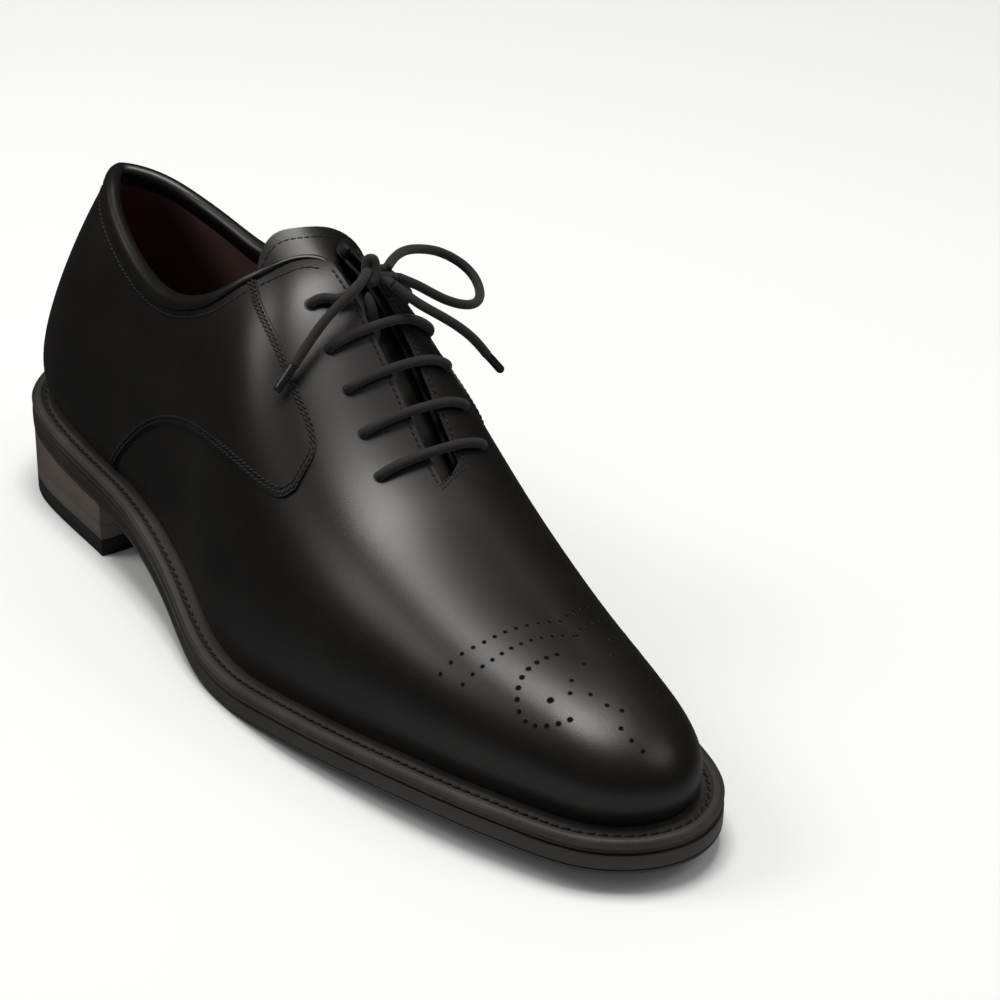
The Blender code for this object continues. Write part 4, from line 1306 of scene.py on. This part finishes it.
# ---- upper -----------------------------------------------------------------------------
@dataclass
class Upper:
    """Vamp, quarters, linings, binding, stitching and the punched toe pattern."""

    make: Maker
    look: Finishes
    pattern: Pattern
    leather: float = .8
    lap: float = .74
    lap_from: tuple[float, float] = (24.0, 60.0)
    facing_row: float = 1.5
    punch_above: float = .36
    eye_radius: float = 1.7
    rows: int = 56

    def ruled(self, low: Array, high: Array, rows: int) -> Array:
        """Pattern columns between matching low and high points, closer together at the top edge.

        Args:
            low: low end of each column.
            high: high end of each column.
            rows: points in a column.

        Returns:
            Grid of pattern points.
        """
        t = np.linspace(0, 1, rows)
        t = (t + np.sin(t * math.pi / 2)) / 2
        return low[:, None] * (1 - t)[None, :, None] + high[:, None] * t[None, :, None]

    def sheet(self, name: str, grid: Array, off: Array | float, thick: float, bevel: float = 0.0
              ) -> bpy.types.Object:
        """Leather piece over pattern columns.

        Args:
            name: object name.
            grid: (s, u) points by column and row.
            off: distance outward, one number or one per point.
            thick: leather thickness, mm.
            bevel: edge rounding, mm.

        Returns:
            The new object.
        """
        flat = grid.reshape(-1, 2)
        pts = self.make.last.layer(flat[:, 0], flat[:, 1], off)
        floor = self.make.last.seat(self.make.last.outline(flat[:, 0])[:, 0])
        pts[:, 2] = np.maximum(pts[:, 2], floor - .2)
        obj = self.make.grid(name, pts.reshape(*grid.shape[:2], 3))
        return self.make.thicken(obj, thick, bevel)

    def side_columns(self, side: Side) -> tuple[Array, Array]:
        """Low and high ends of the vamp's columns up to the throat on one side.

        Args:
            side: which side.

        Returns:
            The low ends and the high ends.
        """
        pat = self.pattern
        (s0, _), (s1, u1) = pat.wing
        line = pat.topline[side]
        top = pat.line([(s1, u1), *[p for p in line if p[0] > s1]], 34)
        gap = np.array([(s, pat.gap[side]) for s in np.linspace(line[-1][0], pat.throat, 60)[1:]])
        top = np.vstack([top, gap])
        low = np.c_[np.linspace(s0, pat.throat, len(top)), np.zeros(len(top))]
        return low, top

    def vamp(self) -> None:
        """One-piece vamp with its facings, the lace opening left clear."""
        toe = 1 - (1 - self.pattern.throat - .004) * (1 - np.linspace(0, 1, 90))**1.2
        toe_low, toe_top = np.c_[toe, 0 * toe], np.c_[toe, 0 * toe + 1]
        halves = []
        for side in Side:
            low, top = self.side_columns(side)
            front = self.ruled(toe_low, toe_top, self.rows)
            rear = self.ruled(low, top, self.rows)
            if side is Side.INNER:
                rear[:, :, 0] = 2 - rear[:, :, 0]
                front[:, :, 0] = self.make.last.twin(front[:, 0, 0])[:, None]
            halves.append(np.concatenate([rear, front]))
        grid = np.concatenate([halves[0], halves[1][::-1][1:]])
        vamp = self.sheet("vamp_hide", grid, 0.0, self.leather, .35)
        self.make.wear(vamp, self.look.calf, "calf", Body.SHOE, ["vamp"])

    def rise(self, grid: Array) -> Array:
        """How far the quarter stands off where the vamp's wing lies under it.

        Args:
            grid: pattern points.

        Returns:
            Height of each point over the last, mm.
        """
        s = np.where(grid[..., 0] > 1, 2 - grid[..., 0], grid[..., 0]).ravel()
        (s0, _), (s1, u1) = self.pattern.wing
        edge = s0 + (s1 - s0) * grid[..., 1].ravel() / u1
        before, over = self.lap_from
        return self.lap * smooth(np.clip(((s - edge) * WAY_MM + before) / over, 0, 1))

    def quarter_columns(self, side: Side) -> Array:
        """Pattern columns of one quarter, heel seam to its lobed front.

        Args:
            side: which side.

        Returns:
            Grid of pattern points.
        """
        pat = self.pattern
        edge = pat.line(pat.topline[side], 160)
        corner = (pat.corner, float(np.interp(pat.corner, edge[:, 0], edge[:, 1])))
        top = pat.line([q for q in pat.topline[side] if q[0] < .405] + [corner], 90)
        top = np.vstack([top, pat.line([corner, *pat.front[side]], 70)[1:]])
        share = int(len(top) * .42)
        low = np.vstack([np.c_[np.linspace(0, pat.lower[side][0][0], share), np.zeros(share)],
                         pat.line(pat.lower[side], len(top) - share + 1)[1:]])
        grid = self.ruled(low, top, self.rows)
        start = .0006 * (1 - np.linspace(0, 1, len(grid)))**4
        grid[:, :, 0] += start[:, None]
        return grid

    def quarters(self) -> None:
        """Both quarters, laid over the vamp."""
        for side in Side:
            grid = self.quarter_columns(side)
            if side is Side.INNER:
                grid[:, :, 0] = 2 - grid[:, :, 0]
                grid = grid[::-1]
            obj = self.sheet(f"quarter_hide_{side.value}", grid, self.rise(grid), self.leather, .4)
            self.make.wear(obj, self.look.calf, "calf", Body.SHOE, [f"quarter_{side.value}"])

    def linings(self, nodes: dict[str, bpy.types.Object]) -> None:
        """Smooth quarter lining; the lining of the vamp and the stiffeners keep their solids.

        Args:
            nodes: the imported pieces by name.
        """
        pat = self.pattern
        halves = []
        for side in Side:
            edge = pat.line(pat.topline[side], 120)
            s = np.linspace(0, .30, 80)
            high = np.c_[s, np.interp(s, edge[:, 0], edge[:, 1]) - .004]
            low = np.c_[s * .72, 0 * s]
            grid = self.ruled(low, high, 40)
            if side is Side.INNER:
                grid[:, :, 0] = -grid[:, :, 0]
            halves.append(grid)
        grid = np.concatenate([halves[1][:0:-1], halves[0]])
        obj = self.sheet("heel_lining", grid, -3.2, .8)
        self.make.wear(obj, self.look.lining, "lining", Body.SHOE, ["quarter_lining"])
        # The vamp lining gets the black finish: painted shade for the lace gap between the facings.
        for name, finish in (("vamp_lining", self.look.gap_shade_lining), ("toe_puff", self.look.board),
                             ("heel_counter", self.look.board)):
            dress(nodes[name], finish)
        for name, node in nodes.items():
            if name.startswith("eyelet"):
                dress(node, self.look.brass)

    def back_strip(self) -> None:
        """Narrow strip over the back seam."""
        s = np.linspace(-.014, .014, 14)
        u = np.linspace(.012, .782, 60)
        grid = np.stack(np.meshgrid(s, u, indexing="ij"), axis=-1)
        obj = self.sheet("back_seam_strip", grid, .55 - .25 * np.abs(grid[..., 0].ravel() / .014)**3, .9, .3)
        self.make.wear(obj, self.look.calf, "calf", Body.SHOE, ["back_strip"])

    def topline(self) -> Array:
        """Pattern points along the whole topline, inner facing corner to outer one.

        Returns:
            One (s, u) row per point.
        """
        a = self.pattern.line(self.pattern.topline[Side.OUTER], 190)
        b = self.pattern.line(self.pattern.topline[Side.INNER], 190)
        b[:, 0] = -b[:, 0]
        return np.vstack([b[:0:-1], a])[3:-3]

    def binding(self) -> None:
        """Rolled binding: a soft bead over the edge and a flat turned inside."""
        route = self.topline()
        last = self.make.last
        base, n = last.skin(route[:, 0], route[:, 1]), last.normal(route[:, 0], route[:, 1])
        up = last.skin(route[:, 0], np.minimum(route[:, 1] + .01, .999)) - base
        up = unit(up - n * np.sum(up * n, axis=1)[:, None])
        lift = np.interp(np.abs(route[:, 0]), (.2, .28), (.15, 1.0))[:, None] * self.lap
        ends = np.minimum(np.arange(len(route)), np.arange(len(route))[::-1]) / 22.0
        slim = (.22 + .78 * np.clip(ends, 0, 1)**.7)[:, None]
        rings = []
        shape = ((.45, -2.2), (.8, -1.7), (.95, -.8), (1.05, .2), (.95, 1.2), (.45, 2.2), (-.5, 2.8), (-1.7, 2.95),
                 (-2.8, 2.5), (-3.5, 1.6), (-3.75, .3), (-3.8, -3.0), (-3.3, -3.0), (-1.5, -2.0))
        for out, high in shape:
            share = np.clip((out + 3.3) / 3.8, 0, 1)
            rings.append(base + n * (out * (slim if out > 0 else 1) + lift * share * slim - .35) + up * high * slim)
        obj = self.make.loft("topline_roll", np.stack(rings, axis=1))
        self.make.wear(obj, self.look.calf, "calf", Body.SHOE, ["topline_binding"])

    def stitch_row(self, name: str, line: Array, off: Array | float, pitch: float = 2.1,
                   size: tuple[float, float, float] = (.98, .31, .27), slant: float = .2) -> None:
        """Stitches along a pattern line.

        Args:
            name: object name.
            line: (s, u) points.
            off: distance outward, mm, one number or one per point.
            pitch: stitch spacing, mm.
            size: half length, half width and half height of one stitch.
            slant: how far each stitch leans across the row.
        """
        last = self.make.last
        offs = np.broadcast_to(np.asarray(off, float), (len(line),))
        dense = last.layer(line[:, 0], line[:, 1], offs)
        run = path_run(dense)
        t = np.arange(pitch / 2, run[-1], pitch)
        centres = along_path(t, run, dense)
        n = last.normal(*along_path(t, run, line).T)
        ahead = along_path(t + .4, run, dense) - along_path(t - .4, run, dense)
        ahead = unit(ahead - n * np.sum(ahead * n, axis=1)[:, None])
        ahead = unit(ahead + np.cross(n, ahead) * slant)
        self.make.wear(self.make.beads(name, centres, ahead, n, size, 6), self.look.stitch, "calf", Body.SHOE)

    def inset(self, line: Array, distance: float) -> Array:
        """Pattern line moved sideways by a real distance on the surface.

        Args:
            line: (s, u) points.
            distance: mm, positive to the left of its direction seen from outside.

        Returns:
            The moved (s, u) points.
        """
        last = self.make.last
        d = np.gradient(line, axis=0)
        ds = last.skin(line[:, 0] + 1e-3, line[:, 1]) - last.skin(line[:, 0] - 1e-3, line[:, 1])
        du = (last.skin(line[:, 0], np.minimum(line[:, 1] + 1e-3, 1))
              - last.skin(line[:, 0], np.minimum(line[:, 1] + 1e-3, 1) - 2e-3))
        ls, lu = np.linalg.norm(ds, axis=1) / 2e-3, np.linalg.norm(du, axis=1) / 2e-3
        t = unit(np.c_[d[:, 0] * ls, d[:, 1] * lu], 1e-9)
        left = np.c_[-t[:, 1], t[:, 0]] * distance
        return line + np.c_[left[:, 0] / ls, left[:, 1] / lu]

    def stitching(self) -> None:
        """Seam rows of the quarters, topline, facings and throat."""
        pat, last = self.pattern, self.make.last
        for side in Side:
            sign = 1 if side is Side.OUTER else -1
            edge = pat.line(pat.topline[side], 160)
            corner = (pat.corner, float(np.interp(pat.corner, edge[:, 0], edge[:, 1])))
            seam = np.vstack([pat.line([corner, *pat.front[side]], 160),
                              pat.line(pat.lower[side], 260)[::-1][1:]])
            for k, distance in enumerate((.95, 2.15)):
                row = self.inset(seam, -distance)
                self.stitch_row(f"quarter_seam_{side.value}_{k + 1}", side.place(row)[3:-6], self.lap + .05, 1.75,
                                (.98, .37, .33), .42)
            top = self.inset(pat.line([p for p in pat.topline[side] if p[0] <= pat.corner], 220), -2.6 - 1.5)
            lift = self.rise(top[None])
            self.stitch_row(f"topline_row_{side.value}", side.place(top), lift + .06, 2.0)
            corner_row = self.inset(pat.line([p for p in pat.topline[side] if p[0] >= .39], 90), -3.9)
            self.stitch_row(f"facing_top_{side.value}", side.place(corner_row[14:-6]), .08, 2.0)
            s = np.linspace(pat.topline[side][-1][0] + .006, pat.throat, 60)
            edge_row = last.skin(s if side is Side.OUTER else 2 - s, pat.gap[side])
            row = [last.over(p[0], p[1] - sign * self.facing_row) for p in edge_row]
            self.stitch_row(f"facing_row_{side.value}", np.array(row), .06, 2.0, (.8, .38, .3), .1)
        ends = (pat.throat, pat.gap[Side.OUTER]), (2 - pat.throat, pat.gap[Side.INNER])
        foot = [last.skin(s, u)[0] for s, u in ends]
        for k, ahead in enumerate((.8, 1.9)):
            ends = foot[0][:2] + (ahead, -self.facing_row), foot[1][:2] + (ahead, self.facing_row)
            bar = [last.over(*(ends[0] + (ends[1] - ends[0]) * t)) for t in np.linspace(0, 1, 24)]
            sides = [[q for q in bar if q[0] <= 1], [q for q in bar if q[0] > 1]]
            for n, part in enumerate(sides):
                self.stitch_row(f"throat_bar_{k + 1}_{n + 1}", np.array(part), .12, 1.25, (.66, .26, .24), .5)

    def holes(self, name: str, spots: Array, radius: Array) -> None:
        """Punched holes: a flat near-black disc of painted shade for the inside of each hole, with a softly raised
        rim.

        Args:
            name: object name.
            spots: (s, u) of each hole.
            radius: hole radius of each, mm.
        """
        last = self.make.last
        centre, n = last.skin(spots[:, 0], spots[:, 1]), last.normal(spots[:, 0], spots[:, 1])
        a = unit(np.cross(n, (0.0, 0.0, 1.0)))
        b = np.cross(n, a)
        around = np.linspace(0, 2 * math.pi, 25)[:-1]
        # The second part lies just above the leather: a near-black disc of painted shade, not a real hollow.
        for part, shape, finish in (("rims", ((1.3, -.03), (1.2, .015), (1.08, .045), (.97, .035), (.92, -.02)),
                                     self.look.calf_edge),
                                    ("shade_discs", ((.99, .035), (.8, .03), (.4, .025), (.02, .024)), self.look.hole)):
            verts, faces = [], []
            for c, ai, bi, ni, r in zip(centre, a, b, n, radius):
                base = len(verts)
                for w, h in shape:
                    verts += [c + (ai * math.cos(t) + bi * math.sin(t)) * r * w + ni * h for t in around]
                m = len(around)
                faces += [(base + i * m + j, base + (i + 1) * m + j, base + (i + 1) * m + (j + 1) % m,
                           base + i * m + (j + 1) % m) for i in range(len(shape) - 1) for j in range(m)]
            obj = self.make.mesh(f"{name}_{part}", np.array(verts), faces)
            self.make.face_out(obj)
            self.make.wear(obj, finish, "calf", Body.SHOE)

    def toe_pattern(self) -> None:
        """Punched toe: two swept rows of holes, an open curl each side and loose dots."""
        last = self.make.last
        rows = (((236.9, -29.1), (237.4, -23), (238.5, -17.5), (239, -11), (239.8, -5.0), (241.2, 1.2), (242.6, 5.5)),
                ((243.9, -26.8), (244.2, -22), (244.5, -17.8), (244.6, -11.2), (245.8, -2.7), (247.6, 2.6),
                 (249, 5.2)))
        curl = ((252.8, -3.1), (252.3, -7.4), (252.6, -11.1), (253.6, -14.4), (255.2, -16.8), (257.2, -18.8),
                (259.8, -20.3), (262.6, -20.9), (265.4, -20.3), (268, -18.6), (270.3, -15.9), (271.8, -12.4))
        dots = ((264.2, -13.2), (262.3, -5.1), (265.5, -7.9), (273.5, -1.9), (280.8, -2.7), (284.6, -2.1),
                (287.9, -.9), (259.0, 1.2), (268.6, -3.6), (276.6, .6))
        spots, radius = [], []

        def add(x: float, y: float, r: float) -> None:
            """Adds a hole at plan point (x, y) and its mirror over the toe's middle line."""
            middle = 5.2 + (x - 240) * .045
            for plan in (y, 2 * middle - y):
                s, u = last.over(x, plan)
                if u > self.punch_above:
                    spots.append((s, u))
                    radius.append(r)

        for k, row in enumerate(rows):
            for x, y in resample(row, 3.2 if k == 0 else 2.9):
                add(float(x), float(y), .56)
        for x, y in resample(curl, 3.1):
            add(float(x), float(y), .70)
        for k, (x, y) in enumerate(dots):
            add(x, y, .85 if k == 0 else .60)
        self.holes("toe_punch", np.array(spots), np.array(radius))

    def lace_eyes(self) -> None:
        """The ten blind lace holes."""
        spots = self.pattern.lace_holes(self.make.last)
        self.holes("lace_hole", spots, np.full(len(spots), self.eye_radius))

    def build(self, nodes: dict[str, bpy.types.Object]) -> None:
        """Builds the whole upper."""
        self.vamp()
        self.quarters()
        self.linings(nodes)
        self.back_strip()
        self.binding()
        self.stitching()
        self.toe_pattern()
        self.lace_eyes()


# ---- tongue ------------------------------------------------------------------------------
@dataclass
class Tongue:
    """Tongue with its lining, carried on the tongue's own body."""

    make: Maker
    look: Finishes
    pattern: Pattern
    slope: float = 33.0
    depth: float = -7.7
    reach: dict[Side, float] = field(default_factory=lambda: {Side.OUTER: 1.0, Side.INNER: 1.6})
    stand: float = 20.0
    rows_from: float = .74
    stitch_size: tuple[float, float, float] = (.85, .24, .2)
    inner_edge: Route = ((108.6, 11.6, 113.8), (109.6, 17.5, 112.9), (111.0, 23.0, 109.6), (112.6, 26.8, 104.6),
                         (114.6, 28.0, 98.0), (117.4, 25.0, 90.5), (118.2, 21.2, 85.6))

    def points(self, off: float) -> Array:
        """Grid of tongue points, top edge first, outer side to inner side.

        Args:
            off: distance out from the outer surface, mm; inward below 0.

        Returns:
            Layout points, mm.
        """
        last, columns = self.make.last, 70
        rows = np.linspace(self.rows_from, 1, 30)
        length = self.stand * (1 - ((1 - rows) / (1 - self.rows_from))**2.4).clip(.01)
        steps = np.linspace(1, .06, 16)
        rise = math.radians(self.slope)
        run = np.array([-math.cos(rise), 0, math.sin(rise)])
        sides = []
        for side in Side:
            up = 1 - (1 - rows) * self.reach[side]
            line = np.array([p for p in self.pattern.topline[side] if p[0] > .40])
            first = np.interp(up, line[:, 1], line[:, 0]) + .004
            s = first + (.715 - first) * np.linspace(0, 1, columns)[:, None]
            way = s if side is Side.OUTER else last.twin(s)
            pts = last.layer(way.ravel(), np.tile(up, columns), off).reshape(*s.shape, 3)
            edge = pts[0] + length[:, None] * run
            if side is Side.INNER:
                edge = resample(self.inner_edge, .2)
                edge = edge[np.linspace(len(edge) - 1, 0, len(rows)).astype(int)]
            stand = pts[0] + steps[:, None, None] * (edge - pts[0])
            sides.append(np.concatenate([stand, pts]))
        middle = (sides[0][:, -1:] + sides[1][:, -1:]) / 2
        grid = np.concatenate([sides[0][:, :-1], middle, sides[1][:, -2::-1]], axis=1)
        for _ in range(26):
            grid[:24, 1:-1] = (grid[:24, :-2] + grid[:24, 2:] + 2 * grid[:24, 1:-1]) / 4
        for _ in range(14):
            grid[1:60, 1:-1] = (grid[:59, 1:-1] + grid[2:61, 1:-1] + 2 * grid[1:60, 1:-1]) / 4
        return grid

    def build(self) -> None:
        """Builds the tongue, its lining and the row of stitches round its top."""
        grid = self.points(self.depth)
        top = self.make.thicken(self.make.grid("tongue_hide", grid), 1.25, .4)
        self.make.wear(top, self.look.calf, "calf", Body.TONGUE, ["tongue"])
        under = self.make.thicken(self.make.grid("tongue_under", self.points(self.depth - 1.5)), .8)
        self.make.wear(under, self.look.lining, "lining", Body.TONGUE, ["tongue_lining"])
        edge = grid[3]
        normal = unit(np.cross(np.gradient(grid, axis=1)[3], np.gradient(grid, axis=0)[3]), 1e-9)
        normal *= np.sign(normal[:, 2:] + 1e-9)
        run = path_run(edge)
        t = np.arange(1.0, run[-1], 2.0)
        ahead = unit(along_path(t + .4, run, edge) - along_path(t - .4, run, edge))
        n = unit(along_path(t, run, normal))
        row = self.make.beads("tongue_row", along_path(t, run, edge) + n * .05, ahead, n, self.stitch_size, 6)
        self.make.wear(row, self.look.stitch, "calf", Body.TONGUE)


# ---- lacing -------------------------------------------------------------------------------
@dataclass
class Lacing:
    """The lace: bars across the facings, knot, loop and two tails with their aglets."""

    make: Maker
    look: Finishes
    pattern: Pattern
    cord: float = 2.8
    over_by: float = 1.55
    under_by: float = -5.85
    knot: tuple[float, float, float] = (139.5, 12.5, 111.0)
    knot_axes: Route = ((.574, .819, 0.0), (-.391, .274, .879), (.72, -.504, .477))
    loop: Route = ((141.5, 16.5, 111.5), (138, 20.5, 111.6), (133, 27.5, 110.8), (128.5, 37.3, 107.5),
                   (127.3, 46, 103.2), (131.2, 51.7, 98), (139, 50, 94.6), (146, 41.5, 95.6), (146.5, 32, 100.2),
                   (145, 25, 105.2), (144.5, 18.5, 109.3))
    tail_outer: Route = ((143.8, 7.6, 112.2), (147, 2.5, 110.5), (147.5, -3.5, 107.2), (148, -9.5, 103),
                         (148.8, -15, 98.2), (149.4, -19.4, 94))
    tail_inner: Route = ((146.5, 15.6, 108.5), (152, 20, 104), (157, 26, 99.5), (160, 32.5, 93.5),
                         (160, 38, 86.5))

    def laced_route(self) -> list[Array]:
        """Route of the laced run: straight bars above, hidden runs underneath.

        Returns:
            Points along the route, mm.
        """
        last, e = self.make.last, self.pattern.lace_holes(self.make.last).reshape(2, 5, 2)
        over, under = self.over_by, self.under_by

        def hole(side: int, row: int, down: bool) -> list[Array]:
            """Way through one lace hole."""
            pts = [last.layer(*e[side, row], o)[0] for o in (.7, -1.6, -4.0)]
            return pts if down else pts[::-1]

        def bar(row: int, from_outer: bool) -> list[Array]:
            """Straight bar across the facings at one row.

            Args:
                row: which row of holes.
                from_outer: True where the lace comes from the outer side.

            Returns:
                Points along the bar.
            """
            a, b = (last.skin(*q)[0] for q in e[:, row])
            pts = []
            for t in (.1, .3, .5, .7, .9):
                at = last.over(*(a + (b - a) * t)[:2])
                pts.append(last.layer(*at, over + 2.6 * t * (1 - t))[0])
            return pts if from_outer else pts[::-1]

        def below(side: int, row: int, to: int, sway: float = 0.0) -> list[Array]:
            """Hidden run under one facing from row to row.

            Args:
                side: which side.
                row: row it starts at.
                to: row it ends at.
                sway: bend of the run across.

            Returns:
                Points along the run.
            """
            p, q = e[side, row], e[side, to]
            mid = [p + (q - p) * t for t in (.15, .5, .85)]
            return [last.layer(m[0], m[1] + sway * (1 if i == 1 else .6), under)[0] for i, m in enumerate(mid)]

        pts = [np.array((140.6, 7.6, 108.4)), last.layer(.50, .925, over + .9)[0], last.layer(.489, .895, over)[0]]
        pts += hole(0, 0, True) + below(0, 0, 1) + hole(0, 1, False) + bar(1, True)
        pts += hole(1, 1, True) + below(1, 1, 3, .055) + hole(1, 3, False) + bar(3, False)
        pts += hole(0, 3, True) + below(0, 3, 4) + hole(0, 4, False) + bar(4, True)
        pts += hole(1, 4, True) + below(1, 4, 2) + hole(1, 2, False) + bar(2, False)
        pts += hole(0, 2, True)
        p, q = e[0, 2], e[1, 0]
        pts += [last.layer(p[0] - .018 * t, p[1] + (1 - p[1]) * t, under)[0] for t in (.25, .6)]
        pts.append(last.layer(p[0] - .03, 1.0, under)[0])
        pts += [last.layer(q[0] - .018 * t, q[1] + (1 - q[1]) * t, under)[0] for t in (.6, .25)]
        pts += hole(1, 0, False)
        return pts + [last.layer(2 - .489, .895, over)[0], np.array((141.0, 17.4, 107.6))]

    def thread(self, name: str, route: Route, nodes: list[str]) -> tuple[bpy.types.Object, Array]:
        """One length of lace along a route.

        Args:
            name: object name.
            route: route points, mm.
            nodes: CAD nodes it is shown in place of.

        Returns:
            The tube and its centreline in frame metres.
        """
        path = resample(route, .55)
        tube = self.make.sweep(name, path, self.cord / 2)
        self.make.wear(tube, self.look.lace, "lace", Body.SHOE, nodes)
        return tube, self.make.layout.world(path)

    def bow_knot(self) -> list[bpy.types.Object]:
        """Pulled-tight knot: an upright turn drawn over the strands that pass through it.

        Returns:
            The pieces of the knot.
        """
        right, up, out = (np.array(v) for v in self.knot_axes)
        centre = np.array(self.knot)
        t = np.linspace(0, 2 * math.pi, 97)
        turn = (centre + right * (1.36 * np.sign(np.cos(t)) * np.abs(np.cos(t))**.6)[:, None]
                + up * (3.3 * np.sin(t))[:, None] + out * (1.1 + .5 * np.sin(t)**2)[:, None])
        made = [self.make.sweep("knot_turn", turn, self.cord / 2 * .98)]
        low = centre - up * 1.3
        through = ((self.tail_outer[0], centre + out * .4, self.loop[0]),
                   ((140.6, 7.6, 108.4), low - out * .6, self.tail_inner[0]),
                   (self.loop[-1], low, (141.0, 17.4, 107.6)))
        for k, route in enumerate(through):
            made.append(self.make.sweep(f"knot_strand_{k + 1}", resample(route, .5), self.cord / 2 * .97))
        for k, part in enumerate(made):
            self.make.wear(part, self.look.lace, "lace", Body.SHOE, ["lace_knot"] if k == 0 else [])
        return made

    def aglet(self, name: str, route: Route, node: str) -> bpy.types.Object:
        """Crimped film tip past the end of a tail.

        Args:
            name: object name.
            route: the tail's route, mm.
            node: CAD node it is shown in place of.

        Returns:
            The tip.
        """
        a, b = np.array(route[-2], float), np.array(route[-1], float)
        d = (b - a) / np.linalg.norm(b - a)
        path = np.array([b + d * t for t in np.linspace(-.6, 8.5, 40)])

        def slim(share: float) -> float:
            """Radius factor along the tip, rounded at its end."""
            return .93 - .25 * max(0.0, (share - .9) / .1)**2

        tip = self.make.sweep(name, path, (self.cord - .1) / 2, 20, slim)
        return self.make.wear(tip, self.look.aglet, "aglet", Body.SHOE, [node])

    def build(self) -> None:
        """Builds the lace and logs the lengths of its free parts."""
        self.thread("laced_run", self.laced_route(), ["lace_run"])
        knot = self.bow_knot()
        lengths = {}
        parts = (("bow_loop", self.loop, "lace_loop", "object", knot),
                 ("tail_outer", self.tail_outer, "lace_tail_outer", "fitting", []),
                 ("tail_inner", self.tail_inner, "lace_tail_inner", "fitting", []))
        for name, route, node, far_end, on_it in parts:
            tube, line = self.thread(name, route, [node])
            if far_end == "fitting":
                on_it = [self.aglet(f"{name}_aglet", route, node.replace("lace_tail", "aglet"))]
            length = float(np.linalg.norm(np.diff(line, axis=0), axis=1).sum())
            lengths[name] = round(length, 4)
            tuple(line[0])
            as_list(on_it)
        LOG.info("lace lengths in metres: %s", lengths)


def main() -> None:
    """Builds the shoe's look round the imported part."""
    logging.basicConfig(level=logging.INFO, format="%(message)s")
    for obj in list(bpy.data.objects):
        bpy.data.objects.remove(obj, do_unlink=True)
    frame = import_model()
    Studio().build()
    make, look, pattern = Maker(Last()), Finishes(), Pattern()
    Lacing(make, look, pattern).build()
    Bottom(make, look).build(frame["nodes"])
    Upper(make, look, pattern).build(frame["nodes"])
    Tongue(make, look, pattern).build()


if __name__ == "__main__":
    main()
